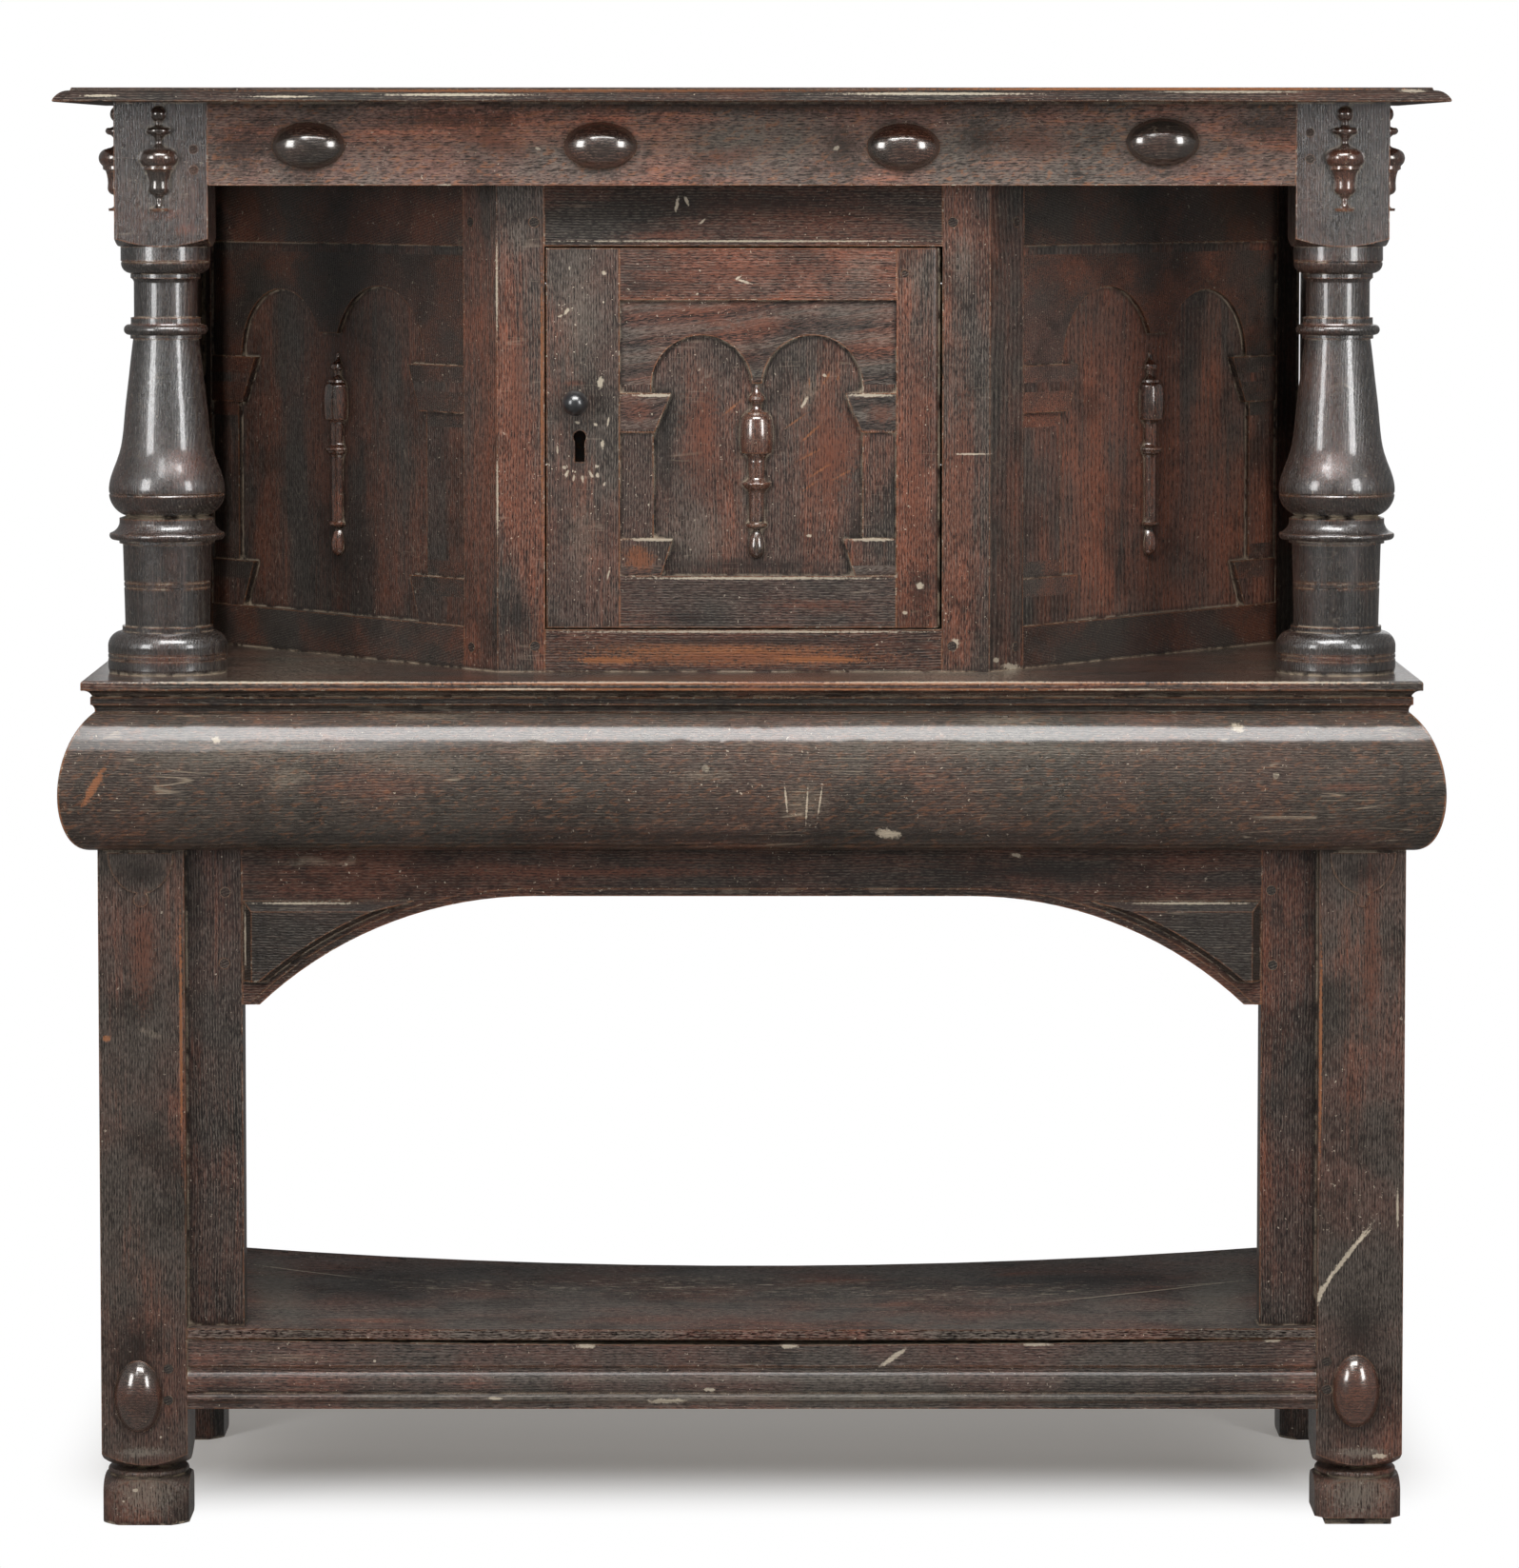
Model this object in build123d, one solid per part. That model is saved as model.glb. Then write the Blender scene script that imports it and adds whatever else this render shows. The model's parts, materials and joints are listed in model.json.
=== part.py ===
from build123d import *
import os
from math import cos, radians, sin, sqrt, tan

# Court cupboard in oak: a splayed cupboard between turned columns, over a cushion-moulded
# drawer and an open shelf. Millimetres, +Z up, the front facing -Y.
# Everything is drawn with Y = 0 on the front faces of the front legs, so that Y is the depth
# into the piece, and export() moves it so that the origin lies on the floor under the middle.

# Overall sizes
TOP_HALF = 577  # half the width of the top board
BACK = 424  # depth of the back
BULGE = 30  # swell of the cushion moulding
ORIGIN_DEPTH = (BACK - BULGE) / 2

# Heights
LEG_SQUARE_Z = 50  # the legs are square above this and turned below
SHELF_RAIL_Z = 98.6
SHELF_Z = 158.5
SHELF_TOP = 167.5
APRON_TOP = 571
CUSHION_Z = 569
CUSHION_TOP = 683
MID_BOARD_Z = 696
MID_BOARD_TOP = 710
SILL_TOP = 746  # top of the rail under the door
HEAD_Z = 1068  # underside of the rail over the door
FRIEZE_Z = 1119
TOP_BOARD_Z = 1188
TOP = 1200

# Legs, posts and columns
LEG_INNER = 472
LEG_OUTER = 543.7
LEG_DEPTH = 75
POST_INNER = 490  # the rear posts are slimmer above the drawer
POST_OUTER = 531
POST_FRONT = BACK - LEG_DEPTH
COLUMN_X = (LEG_OUTER + 440.3) / 2
COLUMN_DEPTH = 85
COLUMN_TENON = 13.9  # radius of the round tenon under each column
BLOCK = 78  # the square at the head of each column
FRIEZE_FACE = COLUMN_DEPTH - BLOCK / 2

# Splayed cupboard, drawn about its own middle
CUPBOARD_X = -7  # it stands a little left of the middle
ARRIS_X = 207
CUPBOARD_FACE = 79
SPLAY = 50  # degrees between the front and each side
FRAME_THICK = 24
POST_FACE = 40  # corner post's face towards the front
SPLAY_POST_FACE = 46  # and along the splayed side
SPLAY_FIELD_END = 416
OPENING_HALF = ARRIS_X - POST_FACE

# Joinery
TENON = 15
TENON_SHOULDER = 5
PEG_RADIUS = 4
PEG_LENGTH = 20
PEG_PROUD = 0.4
PANEL_SUNK = 7
PANEL_THICK = 8
PANEL_TONGUE = 8
FITTED = 0.4  # gap between a moving piece and what it passes

# Door
DOOR_GAP = 1.5
DOOR_THICK = 22
DOOR_HALF = OPENING_HALF - DOOR_GAP
DOOR_Z = SILL_TOP + DOOR_GAP
DOOR_TOP = HEAD_Z - DOOR_GAP
DOOR_RAIL = 43.6
FIELD_LEFT = -104  # edges of the door's panel opening
FIELD_RIGHT = 128.5
HINGE_INSET = 8  # hinge axis from the door's edge and from its face
HINGE_PIN_RADIUS = 3
HINGE_PLAY = 0.05
KEYHOLE_X = -137.5
KEYHOLE_Z = 908
KNOB_X = -141
KNOB_Z = 937

# Drawer
DRAWER_HALF = LEG_INNER - 2.5
DRAWER_Z = 573
DRAWER_TOP = 681
DRAWER_SIDE = 18
DRAWER_FRONT_BACK = 18
DRAWER_BACK = 392
DRAWER_BOTTOM_TOP = 583
RUNNER_Z = 618
RUNNER_TOP = 634
RUNNER_X = 461

# Arched apron
STILE_INNER = 425
STILE_FACE = 15
ARCH_FLAT = 182  # half the flat length at the crown
ARCH_CROWN = 528
ARCH_RADIUS = 333
ARCH_FOOT = 437

# Shelf
FRONT_SAG = 2
REAR_SAG = 23.6
RAIL_WEAR = 5  # what years of use took off the middle of the front rail's top
PACKING = 6  # thickness of the slip under the right front foot


# ---- Helpers -------------------------------------------------------------------------------


def board(x0, x1, y0, y1, z0, z1):
    """A square-edged board between two sides, two depths and two heights."""
    middle = ((x0 + x1) / 2, (y0 + y1) / 2, (z0 + z1) / 2)
    return Pos(*middle) * Box(x1 - x0, y1 - y0, z1 - z0)


def plan(points, z0, z1):
    """A prism whose outline is seen from above."""
    outline = make_face(Polyline(*points, close=True))
    return Pos(0, 0, z0) * extrude(outline, z1 - z0, dir=(0, 0, 1))


def elevation(outline, y0, y1):
    """A face drawn in front view (X across, Z up) made solid between two depths."""
    return Pos(0, y0, 0) * extrude(Plane.XZ * outline, y1 - y0, dir=(0, 1, 0))


def polygon(*points):
    """A straight-sided face."""
    return make_face(Polyline(*points, close=True))


def block_face(x0, x1, z0, z1):
    """A rectangle in front view."""
    return Pos((x0 + x1) / 2, (z0 + z1) / 2) * Rectangle(x1 - x0, z1 - z0)


def profile(*cuts):
    """A closed face from cuts. Each cut is an end point, with the rise of its arc to the right
    of the way it runs as a third number, or a list of points for one smooth curve."""
    edges = []
    start = cuts[0]
    here = start
    for cut in cuts[1:] + (start,):
        if isinstance(cut, list):
            edges.append(Spline(here, *cut))
            here = cut[-1]
        elif len(cut) == 3:
            edges.append(SagittaArc(here, cut[:2], -cut[2]))
            here = cut[:2]
        else:
            edges.append(Line(here, cut))
            here = cut
    return make_face(edges)


def turned(*cuts):
    """A turning about +Z, its cuts (radius, height) running up from the axis and back to it."""
    return revolve(Plane.XZ * profile(*cuts), Axis.Z)


def incised(radius, height, depth=0.8):
    """The cuts of one V line scored round a turning."""
    return (radius, height - depth), (radius - depth, height), (radius, height + depth)


def split(turning):
    """The half of a turning that stands in front of the plane Y = 0."""
    reach = 2000
    return turning & Pos(0, -reach / 2, 0) * Box(reach, reach, 2 * reach)


def mirrored(shape):
    """The same piece on the other side."""
    return mirror(shape, about=Plane.YZ)


def group(*shapes):
    """Separate solids kept in one node."""
    return Compound([solid for shape in shapes for solid in shape.solids()])


def rail(x0, x1, y0, y1, z0, z1):
    """A rail with a tenon at each end, a third of its thickness."""
    third = (y1 - y0) / 3
    tenons = board(x0 - TENON, x1 + TENON, y0 + third, y1 - third,
                   z0 + TENON_SHOULDER, z1 - TENON_SHOULDER)
    return board(x0, x1, y0, y1, z0, z1) + tenons


def peg(x, face, z, radius=PEG_RADIUS):
    """A drawbore peg driven in from the face, standing a little proud."""
    return Pos(x, face - PEG_PROUD + PEG_LENGTH / 2, z) * Rot(90, 0, 0) * Cylinder(radius, PEG_LENGTH)


def mitred_run(face, half, front, reach, gap=0.0):
    """A profile face of (outwards, height) run along the front and both ends of the piece.

    The run lies against sides this far out and a front at this depth, and projects no more
    than its reach. Returns the front length and the two end lengths, mitred where they meet.
    """
    corner = half + reach
    front_plane = Plane(origin=(corner, front, 0), x_dir=(0, -1, 0), z_dir=(-1, 0, 0))
    front_mitre = plan([(-corner + gap, front - reach), (corner - gap, front - reach),
                        (half - gap, front), (-half + gap, front)], 0, TOP)
    front_length = extrude(front_plane * face, 2 * corner, dir=(-1, 0, 0)) & front_mitre
    end_plane = Plane(origin=(half, BACK, 0), x_dir=(1, 0, 0), z_dir=(0, -1, 0))
    end_mitre = plan([(half, front), (corner, front - reach), (corner, BACK), (half, BACK)], 0, TOP)
    end_length = extrude(end_plane * face, BACK - front + reach, dir=(0, -1, 0)) & end_mitre
    return front_length, mirrored(end_length), end_length


# ---- Legs, posts and columns ---------------------------------------------------------------


def lathe_shoulder(half, z0, rise, top):
    """What the lathe leaves of a square above its turned part: the corners are cut back."""
    corner = half * 1.5
    return turned((0, z0), (half, z0), (corner, z0 + rise), (corner, top), (0, top))


def foot(half):
    """A turned foot with a ring on it, flattened on four sides by the square it was turned from."""
    turning = turned((0, 0), (42, 0), (44.5, 4, 0.6), (44.5, 28), (35, 38.4, 2), (32.4, 38.8),
                     (32.4, 44.4, 1.6), (22, 47.6, -0.8), (22, LEG_SQUARE_Z + 3), (0, LEG_SQUARE_Z + 3))
    return turning & Pos(0, 0, LEG_SQUARE_Z / 2) * Box(2 * half, 2 * half, 2 * LEG_SQUARE_Z)


def square_leg(front):
    """The right-hand leg whose front face is at this depth, up to the mid board."""
    half = (LEG_OUTER - LEG_INNER) / 2
    middle = Pos(LEG_INNER + half, front + LEG_DEPTH / 2, 0)
    square = board(LEG_INNER, LEG_OUTER, front, front + LEG_DEPTH, LEG_SQUARE_Z, MID_BOARD_Z)
    return (square & middle * lathe_shoulder(half, LEG_SQUARE_Z, 12, MID_BOARD_Z)) + middle * foot(half)


def front_leg():
    """The right front leg, with a raised lunette and drop under the drawer."""
    middle = (LEG_INNER + LEG_OUTER) / 2
    top = CUSHION_Z - 3
    fall = 34
    lower_half = block_face(LEG_INNER, LEG_OUTER, top - fall, top)
    lunette = Pos(middle, top) * Ellipse(27.3, fall) & lower_half
    drop = Pos(middle, top - fall - 5) * Circle(6.2)
    return square_leg(0) + elevation(lunette + drop, -1, 1)


def rear_post():
    """The right rear post, slimmer above the drawer, where it carries the frieze."""
    upper = board(POST_INNER, POST_OUTER, POST_FRONT, BACK, MID_BOARD_Z - 1, TOP_BOARD_Z)
    return square_leg(POST_FRONT) + upper


def column():
    """The right-hand column: one timber, turned from the mid board up to a square block."""
    cuts = [
        (0, MID_BOARD_Z + 1), (COLUMN_TENON, MID_BOARD_Z + 1), (COLUMN_TENON, 710), (49, 710), (50.1, 714),
        *incised(50.1, 722.2), *incised(50.1, 726.2), (50.1, 731), (40.3, 744.8, 3.2),
        (38, 745), (38, 749.5), (35.6, 749.5), *incised(36.3, 782), *incised(36.4, 786.4),
        (37.2, 818.6), (40.1, 819), (40.1, 821.6), (44.5, 822), (47.8, 827.4, 2), (39.9, 836, -1.6),
        (39.9, 840), (34.1, 842), (48.5, 859.5, 3.4), (47.7, 860.7), (48.5, 861.9),
        [(48.3, 868.4), (44.9, 880.5), (40.3, 892.6), (34.8, 929), (32, 953), (27.5, 990.4)],
        (29.8, 990.8), (29.8, 994), (29.8, 1002.5, 5.4), (29.3, 1003.4), (29.3, 1008.5),
        (26.6, 1008.9), (26.6, 1037), (29.3, 1041.5, -0.9), (29.3, 1045), (28.8, 1045.4),
        (37.2, 1054.4, 2.6), (36.5, 1055.2), (37.5, 1056), (37.5, HEAD_Z + 2), (0, HEAD_Z + 2),
    ]
    square = Pos(0, 0, (HEAD_Z + TOP_BOARD_Z) / 2) * Box(BLOCK, BLOCK, TOP_BOARD_Z - HEAD_Z)
    block = square & lathe_shoulder(BLOCK / 2, HEAD_Z, 8, TOP_BOARD_Z)
    return Pos(COLUMN_X, COLUMN_DEPTH, 0) * (turned(*cuts) + block)


# ---- Applied turnings ----------------------------------------------------------------------


def egg_boss(long, short, proud):
    """An oval boss lying along X: a turned egg split below its middle."""
    buried = short - proud
    egg = scale(Sphere(1), by=(long, short, short))
    return split(Pos(0, buried, 0) * egg)


def urn():
    """A split urn with a ball finial, standing on Z = 0."""
    return split(turned(
        (0, 0), (8.2, 0), (8.5, 2.2), (2.8, 8.5, -2.2), (2.8, 10.5), (4.5, 13.5), (9, 20, 1.6),
        (10.6, 33.5, -0.8), (13, 35), (13, 37.5), (14.4, 39), (9.6, 52, 4.2), (8.4, 52.6),
        (2.9, 56.4, -1), (6.8, 63.6, -1.4), (10.6, 66.5, 0.8), (8.8, 69.5, 0.6), (3, 71.8, -0.8),
        (3.2, 74.8), (0, 88, 5)))


def pendant(stem):
    """A split pendant hanging from Z = 0 by its tip, with a plain stem of this length."""
    lower = 94 + stem
    return split(turned(
        (0, -lower - 31), (6.9, -lower - 23, 2), (3, -lower - 6.5, 1.2), (5, -lower - 5),
        (9, -lower - 3, 0.6), (9, -lower - 1.2), (6.6, -lower), (6.9, -92), (8, -89.5),
        (11.2, -86, 0.6), (11.2, -83, 1.2), (7, -79.5, -0.8), (7.4, -66), (12.8, -58.5, -2),
        (13.1, -57), (13.1, -32, 0.8), (10.5, -26.5, 0.8), (9.8, -24.5), (3.7, -19.5, -1.2),
        (4.2, -16.5), (7.4, -13.4, 0.8), (6.6, -11), (1.5, -2, -1), (0, 0, 0.5)))


# ---- Boards and mouldings ------------------------------------------------------------------


def top_board():
    """The top, with an ovolo and fillet run on its front and ends."""
    run = 15
    edge = profile((0, TOP_BOARD_Z), (run - 1, TOP_BOARD_Z), (run, TOP_BOARD_Z + 1.6, 0.4),
                   (2, TOP - 2.4, 2.2), (1.2, TOP - 2.4), (0.8, TOP), (0, TOP))
    half = TOP_HALF - run
    core = board(-half, half, run, BACK, TOP_BOARD_Z, TOP)
    front, left, right = mitred_run(edge, half, run, run)
    return core + front + left + right


def mid_board(posts):
    """The board over the drawer, notched for the rear posts and bored for the columns."""
    run = 12
    edge = profile((0, MID_BOARD_Z), (3, MID_BOARD_Z), (run, 702, -2), (run, 707.5),
                   (run - 2.5, MID_BOARD_TOP, 0.8), (0, MID_BOARD_TOP))
    core = board(-LEG_OUTER, LEG_OUTER, 0, BACK, MID_BOARD_Z, MID_BOARD_TOP)
    front, left, right = mitred_run(edge, LEG_OUTER, 0, run)
    slab = core + front + left + right
    for post in posts:
        slab -= post
    bore = Cylinder(COLUMN_TENON + 0.1, 2 * (MID_BOARD_TOP - MID_BOARD_Z))
    for x in (-COLUMN_X, COLUMN_X):
        slab -= Pos(x, COLUMN_DEPTH, MID_BOARD_TOP) * bore
    return slab


def mid_moulding():
    """The small moulding planted under the mid board, in three mitred lengths."""
    edge = profile((0, CUSHION_TOP), (1.4, CUSHION_TOP), (3.2, 689.4, -0.9), (4.6, 689.8),
                   (4.6, MID_BOARD_Z), (0, MID_BOARD_Z))
    return group(*mitred_run(edge, LEG_OUTER, 0, 4.6))


def cushion_profile(back):
    """The swelling section of the drawer stage, from this far in front of the legs."""
    top = CUSHION_TOP - 0.6
    return profile((back, CUSHION_Z), (6, CUSHION_Z),
                   [(15.4, 573), (26, 590), (29.9, 615), (25.2, 647.5), (14.5, 670), (3, top)], (back, top))


# ---- Lower stage ---------------------------------------------------------------------------


def arch_opening(radius):
    """The open arch in front view; a larger radius moves its edge into the wood."""
    centre = ARCH_CROWN - ARCH_RADIUS
    crown = (ARCH_FLAT, centre + radius)
    spring = (ARCH_FLAT + sqrt(radius ** 2 - (ARCH_FOOT - centre) ** 2), ARCH_FOOT)
    bend = radians(70)
    right = ThreePointArc(spring, (ARCH_FLAT + radius * cos(bend), centre + radius * sin(bend)), crown)
    left = mirror(right, about=Plane.YZ)
    sill = (spring[0], SHELF_TOP)
    return make_face([right, Line(crown, (-crown[0], crown[1])), left,
                      Polyline((-spring[0], spring[1]), (-sill[0], sill[1]), sill, spring)])


def apron_rail():
    """The arched rail under the drawer, with a scratched margin along its lower edge."""
    thick = 24
    margin = 6
    full = rail(-STILE_INNER, STILE_INNER, STILE_FACE, STILE_FACE + thick, ARCH_FOOT, APRON_TOP)
    arched = full - elevation(arch_opening(ARCH_RADIUS), 0, 100)
    return arched - elevation(arch_opening(ARCH_RADIUS + margin), 0, STILE_FACE + 0.8)


def spandrel_block():
    """The right-hand raised block in the apron's corner, bevelled on its edges."""
    proud = 8
    face = STILE_FACE - proud
    top, bottom = 524.3, 457
    outer = STILE_INNER - 1
    clear = ARCH_RADIUS + 11
    whole = elevation(block_face(ARCH_FLAT, outer, bottom, top), face, STILE_FACE)
    arch = elevation(arch_opening(clear), 0, 100)
    top_section = Plane.YZ * polygon((face - 1, top + 1), (face - 1, top - 9), (face, top - 8.5),
                                     (STILE_FACE, top + 1))
    top_bevel = extrude(top_section, TOP_HALF, dir=(1, 0, 0))
    side_bevel = plan([(outer + 1, face - 1), (outer - 8, face - 1), (outer - 7, face),
                       (outer + 1, STILE_FACE)], bottom, top)
    hollow_section = Plane.XY * polygon((clear - 1, face - 1), (clear + 4, face - 1), (clear + 4, face),
                                        (clear, face + 5), (clear - 1, face + 5))
    hollow_bevel = Pos(ARCH_FLAT, 0, ARCH_CROWN - ARCH_RADIUS) * revolve(hollow_section, Axis.Y)
    return whole - arch - top_bevel - side_bevel - hollow_bevel


def shelf():
    """The shelf board, sagging most along its back edge, before it is notched for the legs."""
    sections = []
    for depth, sag in ((0, FRONT_SAG), (BACK, REAR_SAG)):
        top = ThreePointArc((-LEG_OUTER, SHELF_TOP), (0, SHELF_TOP - sag), (LEG_OUTER, SHELF_TOP))
        base = ThreePointArc((-LEG_OUTER, SHELF_Z), (0, SHELF_Z - sag), (LEG_OUTER, SHELF_Z))
        ends = [Line((side, SHELF_Z), (side, SHELF_TOP)) for side in (-LEG_OUTER, LEG_OUTER)]
        across = Plane(origin=(0, depth, 0), x_dir=(1, 0, 0), z_dir=(0, -1, 0))
        sections.append(across * make_face([top, base, *ends]))
    slab = loft(sections, ruled=True)
    for x0, x1 in ((LEG_INNER, LEG_OUTER + 1), (-LEG_OUTER - 1, -LEG_INNER)):
        for y0, y1 in ((-1, LEG_DEPTH), (POST_FRONT, BACK + 1)):
            slab -= board(x0, x1, y0, y1, SHELF_RAIL_Z, ARCH_FOOT)
    return slab


def shelf_front_rail():
    """The moulded rail under the shelf, worn hollow along its top edge."""
    section = profile((-1, SHELF_RAIL_Z), (-1, 104.4), (0.4, 105.4), (0.4, 110.8, 1.4),
                      (-1.4, 112), (-0.2, 113.4), (-0.2, 126, 0.8), (-3, 129.2), (-3, 133.6), (-1.6, 134.6),
                      (-1.6, SHELF_Z), (-24, SHELF_Z), (-24, SHELF_RAIL_Z))
    across = Plane(origin=(LEG_INNER, 0, 0), x_dir=(0, -1, 0), z_dir=(-1, 0, 0))
    moulded = extrude(across * section, 2 * LEG_INNER, dir=(-1, 0, 0))
    end = LEG_INNER + TENON
    tenons = board(-end, end, 10, 18, SHELF_RAIL_Z + TENON_SHOULDER, SHELF_Z - TENON_SHOULDER - 3)
    uncut = SHELF_Z + 1
    shoulder = SHELF_Z - 0.9
    worn = make_face([
        ThreePointArc((-LEG_INNER, shoulder), (0, shoulder - RAIL_WEAR), (LEG_INNER, shoulder)),
        Polyline((LEG_INNER, shoulder), (LEG_INNER, uncut), (-LEG_INNER, uncut), (-LEG_INNER, shoulder))])
    return moulded + tenons - elevation(worn, -5, 30)


def shelf_rear_rail():
    """The rail under the back of the shelf, sunk below its sagging board."""
    front, back = BACK - 24, BACK - 2
    lowest = SHELF_Z - REAR_SAG
    end = LEG_INNER + TENON
    tenons = board(-end, end, front + 7, back - 7, SHELF_RAIL_Z + TENON_SHOULDER, lowest - TENON_SHOULDER)
    return board(-LEG_INNER, LEG_INNER, front, back, SHELF_RAIL_Z, lowest) + tenons


def side_rail(inner, outer, bottom, top):
    """A side rail between the right front leg and the rear post, with its tenons."""
    third = (outer - inner) / 3
    tenons = board(inner + third, outer - third, LEG_DEPTH - TENON, POST_FRONT + TENON,
                   bottom + TENON_SHOULDER, top - TENON_SHOULDER)
    return board(inner, outer, LEG_DEPTH, POST_FRONT, bottom, top) + tenons


def lower_stage(parts):
    """Legs, rear posts, apron, shelf and the boards round the drawer."""
    leg = front_leg()
    post = rear_post()
    slab = shelf()
    stage_side = side_rail(LEG_OUTER - 20, LEG_OUTER, APRON_TOP, MID_BOARD_Z)
    shelf_side = side_rail(LEG_OUTER - 24, LEG_OUTER - 2, SHELF_RAIL_Z, SHELF_Z - 2.5)
    shelf_rear = shelf_rear_rail()
    stile = board(STILE_INNER, LEG_INNER, STILE_FACE, STILE_FACE + 30, SHELF_Z + 4, APRON_TOP) - slab
    apron = apron_rail()
    front_rail = shelf_front_rail()
    drawer_rail = rail(-LEG_INNER, LEG_INNER, 0, 60, CUSHION_TOP, MID_BOARD_Z)
    lower_back = rail(-LEG_INNER, LEG_INNER, BACK - 24, BACK, APRON_TOP, MID_BOARD_Z)
    for piece in (stage_side, shelf_side, apron, front_rail, drawer_rail):
        leg -= piece
    for piece in (stage_side, shelf_side, shelf_rear, lower_back):
        post -= piece
    packing = Pos((LEG_INNER + LEG_OUTER) / 2, LEG_DEPTH / 2 + 2, PACKING / 2) * Box(56, 68, PACKING)
    runner = board(RUNNER_X + FITTED, LEG_INNER, 22, BACK - 30, RUNNER_Z + FITTED, RUNNER_TOP - FITTED)
    cushions = mitred_run(cushion_profile(0), LEG_OUTER, 0, BULGE)

    parts["front_leg_left"] = mirrored(leg)
    parts["front_leg_right"] = leg - board(0, TOP_HALF, -1, LEG_DEPTH + 1, -1, PACKING)
    parts["foot_packing"] = packing
    parts["rear_post_left"] = mirrored(post)
    parts["rear_post_right"] = post
    parts["apron_rail"] = apron
    parts["apron_stile_left"] = mirrored(stile - apron)
    parts["apron_stile_right"] = stile - apron
    parts["spandrel_blocks"] = group(mirrored(spandrel_block()), spandrel_block())
    parts["shelf_board"] = slab
    parts["shelf_front_rail"] = front_rail
    parts["shelf_side_rails"] = group(mirrored(shelf_side), shelf_side)
    parts["shelf_rear_rail"] = shelf_rear
    parts["drawer_rail"] = drawer_rail
    parts["lower_back_rail"] = lower_back
    parts["case_sides"] = group(mirrored(stage_side), stage_side)
    parts["mid_moulding"] = mid_moulding()
    parts["drawer_runners"] = group(mirrored(runner), runner)
    parts["side_cushion_left"] = cushions[1]
    parts["side_cushion_right"] = cushions[2]


# ---- Drawer --------------------------------------------------------------------------------


def drawer(parts):
    """The drawer: a cushion facing on a nailed and dovetailed box, hung on side runners."""
    facing = mitred_run(cushion_profile(FITTED), LEG_OUTER, 0, BULGE, gap=FITTED)[0]
    front = board(-DRAWER_HALF, DRAWER_HALF, -FITTED, DRAWER_FRONT_BACK, DRAWER_Z, DRAWER_TOP)
    inner = DRAWER_HALF - DRAWER_SIDE
    low = DRAWER_Z + 2
    side = board(inner, DRAWER_HALF, DRAWER_FRONT_BACK, DRAWER_BACK, low, DRAWER_TOP - 1)
    middle = (DRAWER_Z + DRAWER_TOP) / 2
    tail = Plane.YZ * polygon((DRAWER_FRONT_BACK, middle - 20), (DRAWER_FRONT_BACK - 12, middle - 28),
                              (DRAWER_FRONT_BACK - 12, middle + 28), (DRAWER_FRONT_BACK, middle + 20))
    side += Pos(inner, 0, 0) * extrude(tail, DRAWER_SIDE, dir=(1, 0, 0))
    side -= board(RUNNER_X - FITTED, DRAWER_HALF + 1, DRAWER_FRONT_BACK, DRAWER_BACK + 1,
                  RUNNER_Z, RUNNER_TOP)
    sides = group(mirrored(side), side)
    parts["drawer_cushion"] = facing
    parts["drawer_front"] = front - sides
    parts["drawer_sides"] = sides
    parts["drawer_bottom"] = board(-inner, inner, DRAWER_FRONT_BACK, DRAWER_BACK, low, DRAWER_BOTTOM_TOP)
    parts["drawer_back"] = board(-inner, inner, DRAWER_BACK - 14, DRAWER_BACK,
                                 DRAWER_BOTTOM_TOP, DRAWER_TOP - 6)


# ---- Arcaded panels ------------------------------------------------------------------------


def arcade(left, right, bottom, top, spring, arches, tongue, capital, base, near, far):
    """Two round arches on pilasters, planted on a sunk panel, in front view.

    arches: (centre, radius) of each. tongue: where the point between them stops.
    capital, base: their (lower, upper) heights. near, far: for the left and right supports,
    the widths (capital top, capital foot, pilaster, base top, base foot).
    """
    ground = PANEL_SUNK
    thin, thick = 4, 6
    sheet = block_face(left, right, capital[1], top)
    for centre, radius in arches:
        sheet -= Pos(centre, spring) * Circle(radius)
        sheet -= block_face(centre - radius, centre + radius, capital[1] - 1, spring)
    sheet -= block_face(arches[0][0], arches[1][0], capital[1] - 1, tongue)
    pieces = [elevation(sheet, ground - thin, ground)]
    for edge, way, widths in ((left, 1, near), (right, -1, far)):
        cap_top, cap_foot, pilaster, base_top, base_foot = (edge + way * width for width in widths)
        cap = polygon((edge, capital[1]), (cap_top, capital[1]), (cap_foot, capital[0]), (edge, capital[0]))
        shaft = block_face(min(edge, pilaster), max(edge, pilaster), base[1], capital[0])
        plinth = polygon((edge, base[1]), (base_top, base[1]), (base_foot, bottom), (edge, bottom))
        pieces += [elevation(cap, ground - thick, ground), elevation(shaft, ground - thin, ground),
                   elevation(plinth, ground - thick, ground)]
    return group(*pieces)


def sunk_panel(left, right, bottom, top):
    """A panel held by its tongues in the grooves of the frame round it."""
    return board(left - PANEL_TONGUE, right + PANEL_TONGUE, PANEL_SUNK, PANEL_SUNK + PANEL_THICK,
                 bottom - PANEL_TONGUE, top + PANEL_TONGUE)


# ---- Splayed cupboard ----------------------------------------------------------------------


def splayed(shape):
    """Carry a piece drawn from the arris along X round on to the right-hand splayed side."""
    return Pos(ARRIS_X, CUPBOARD_FACE, 0) * Rot(0, 0, SPLAY) * shape


def inside_x(depth):
    """Half the clear width between the splayed frames at a depth."""
    slope = radians(SPLAY)
    return ARRIS_X + (depth - CUPBOARD_FACE) / tan(slope) - FRAME_THICK / sin(slope)


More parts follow.
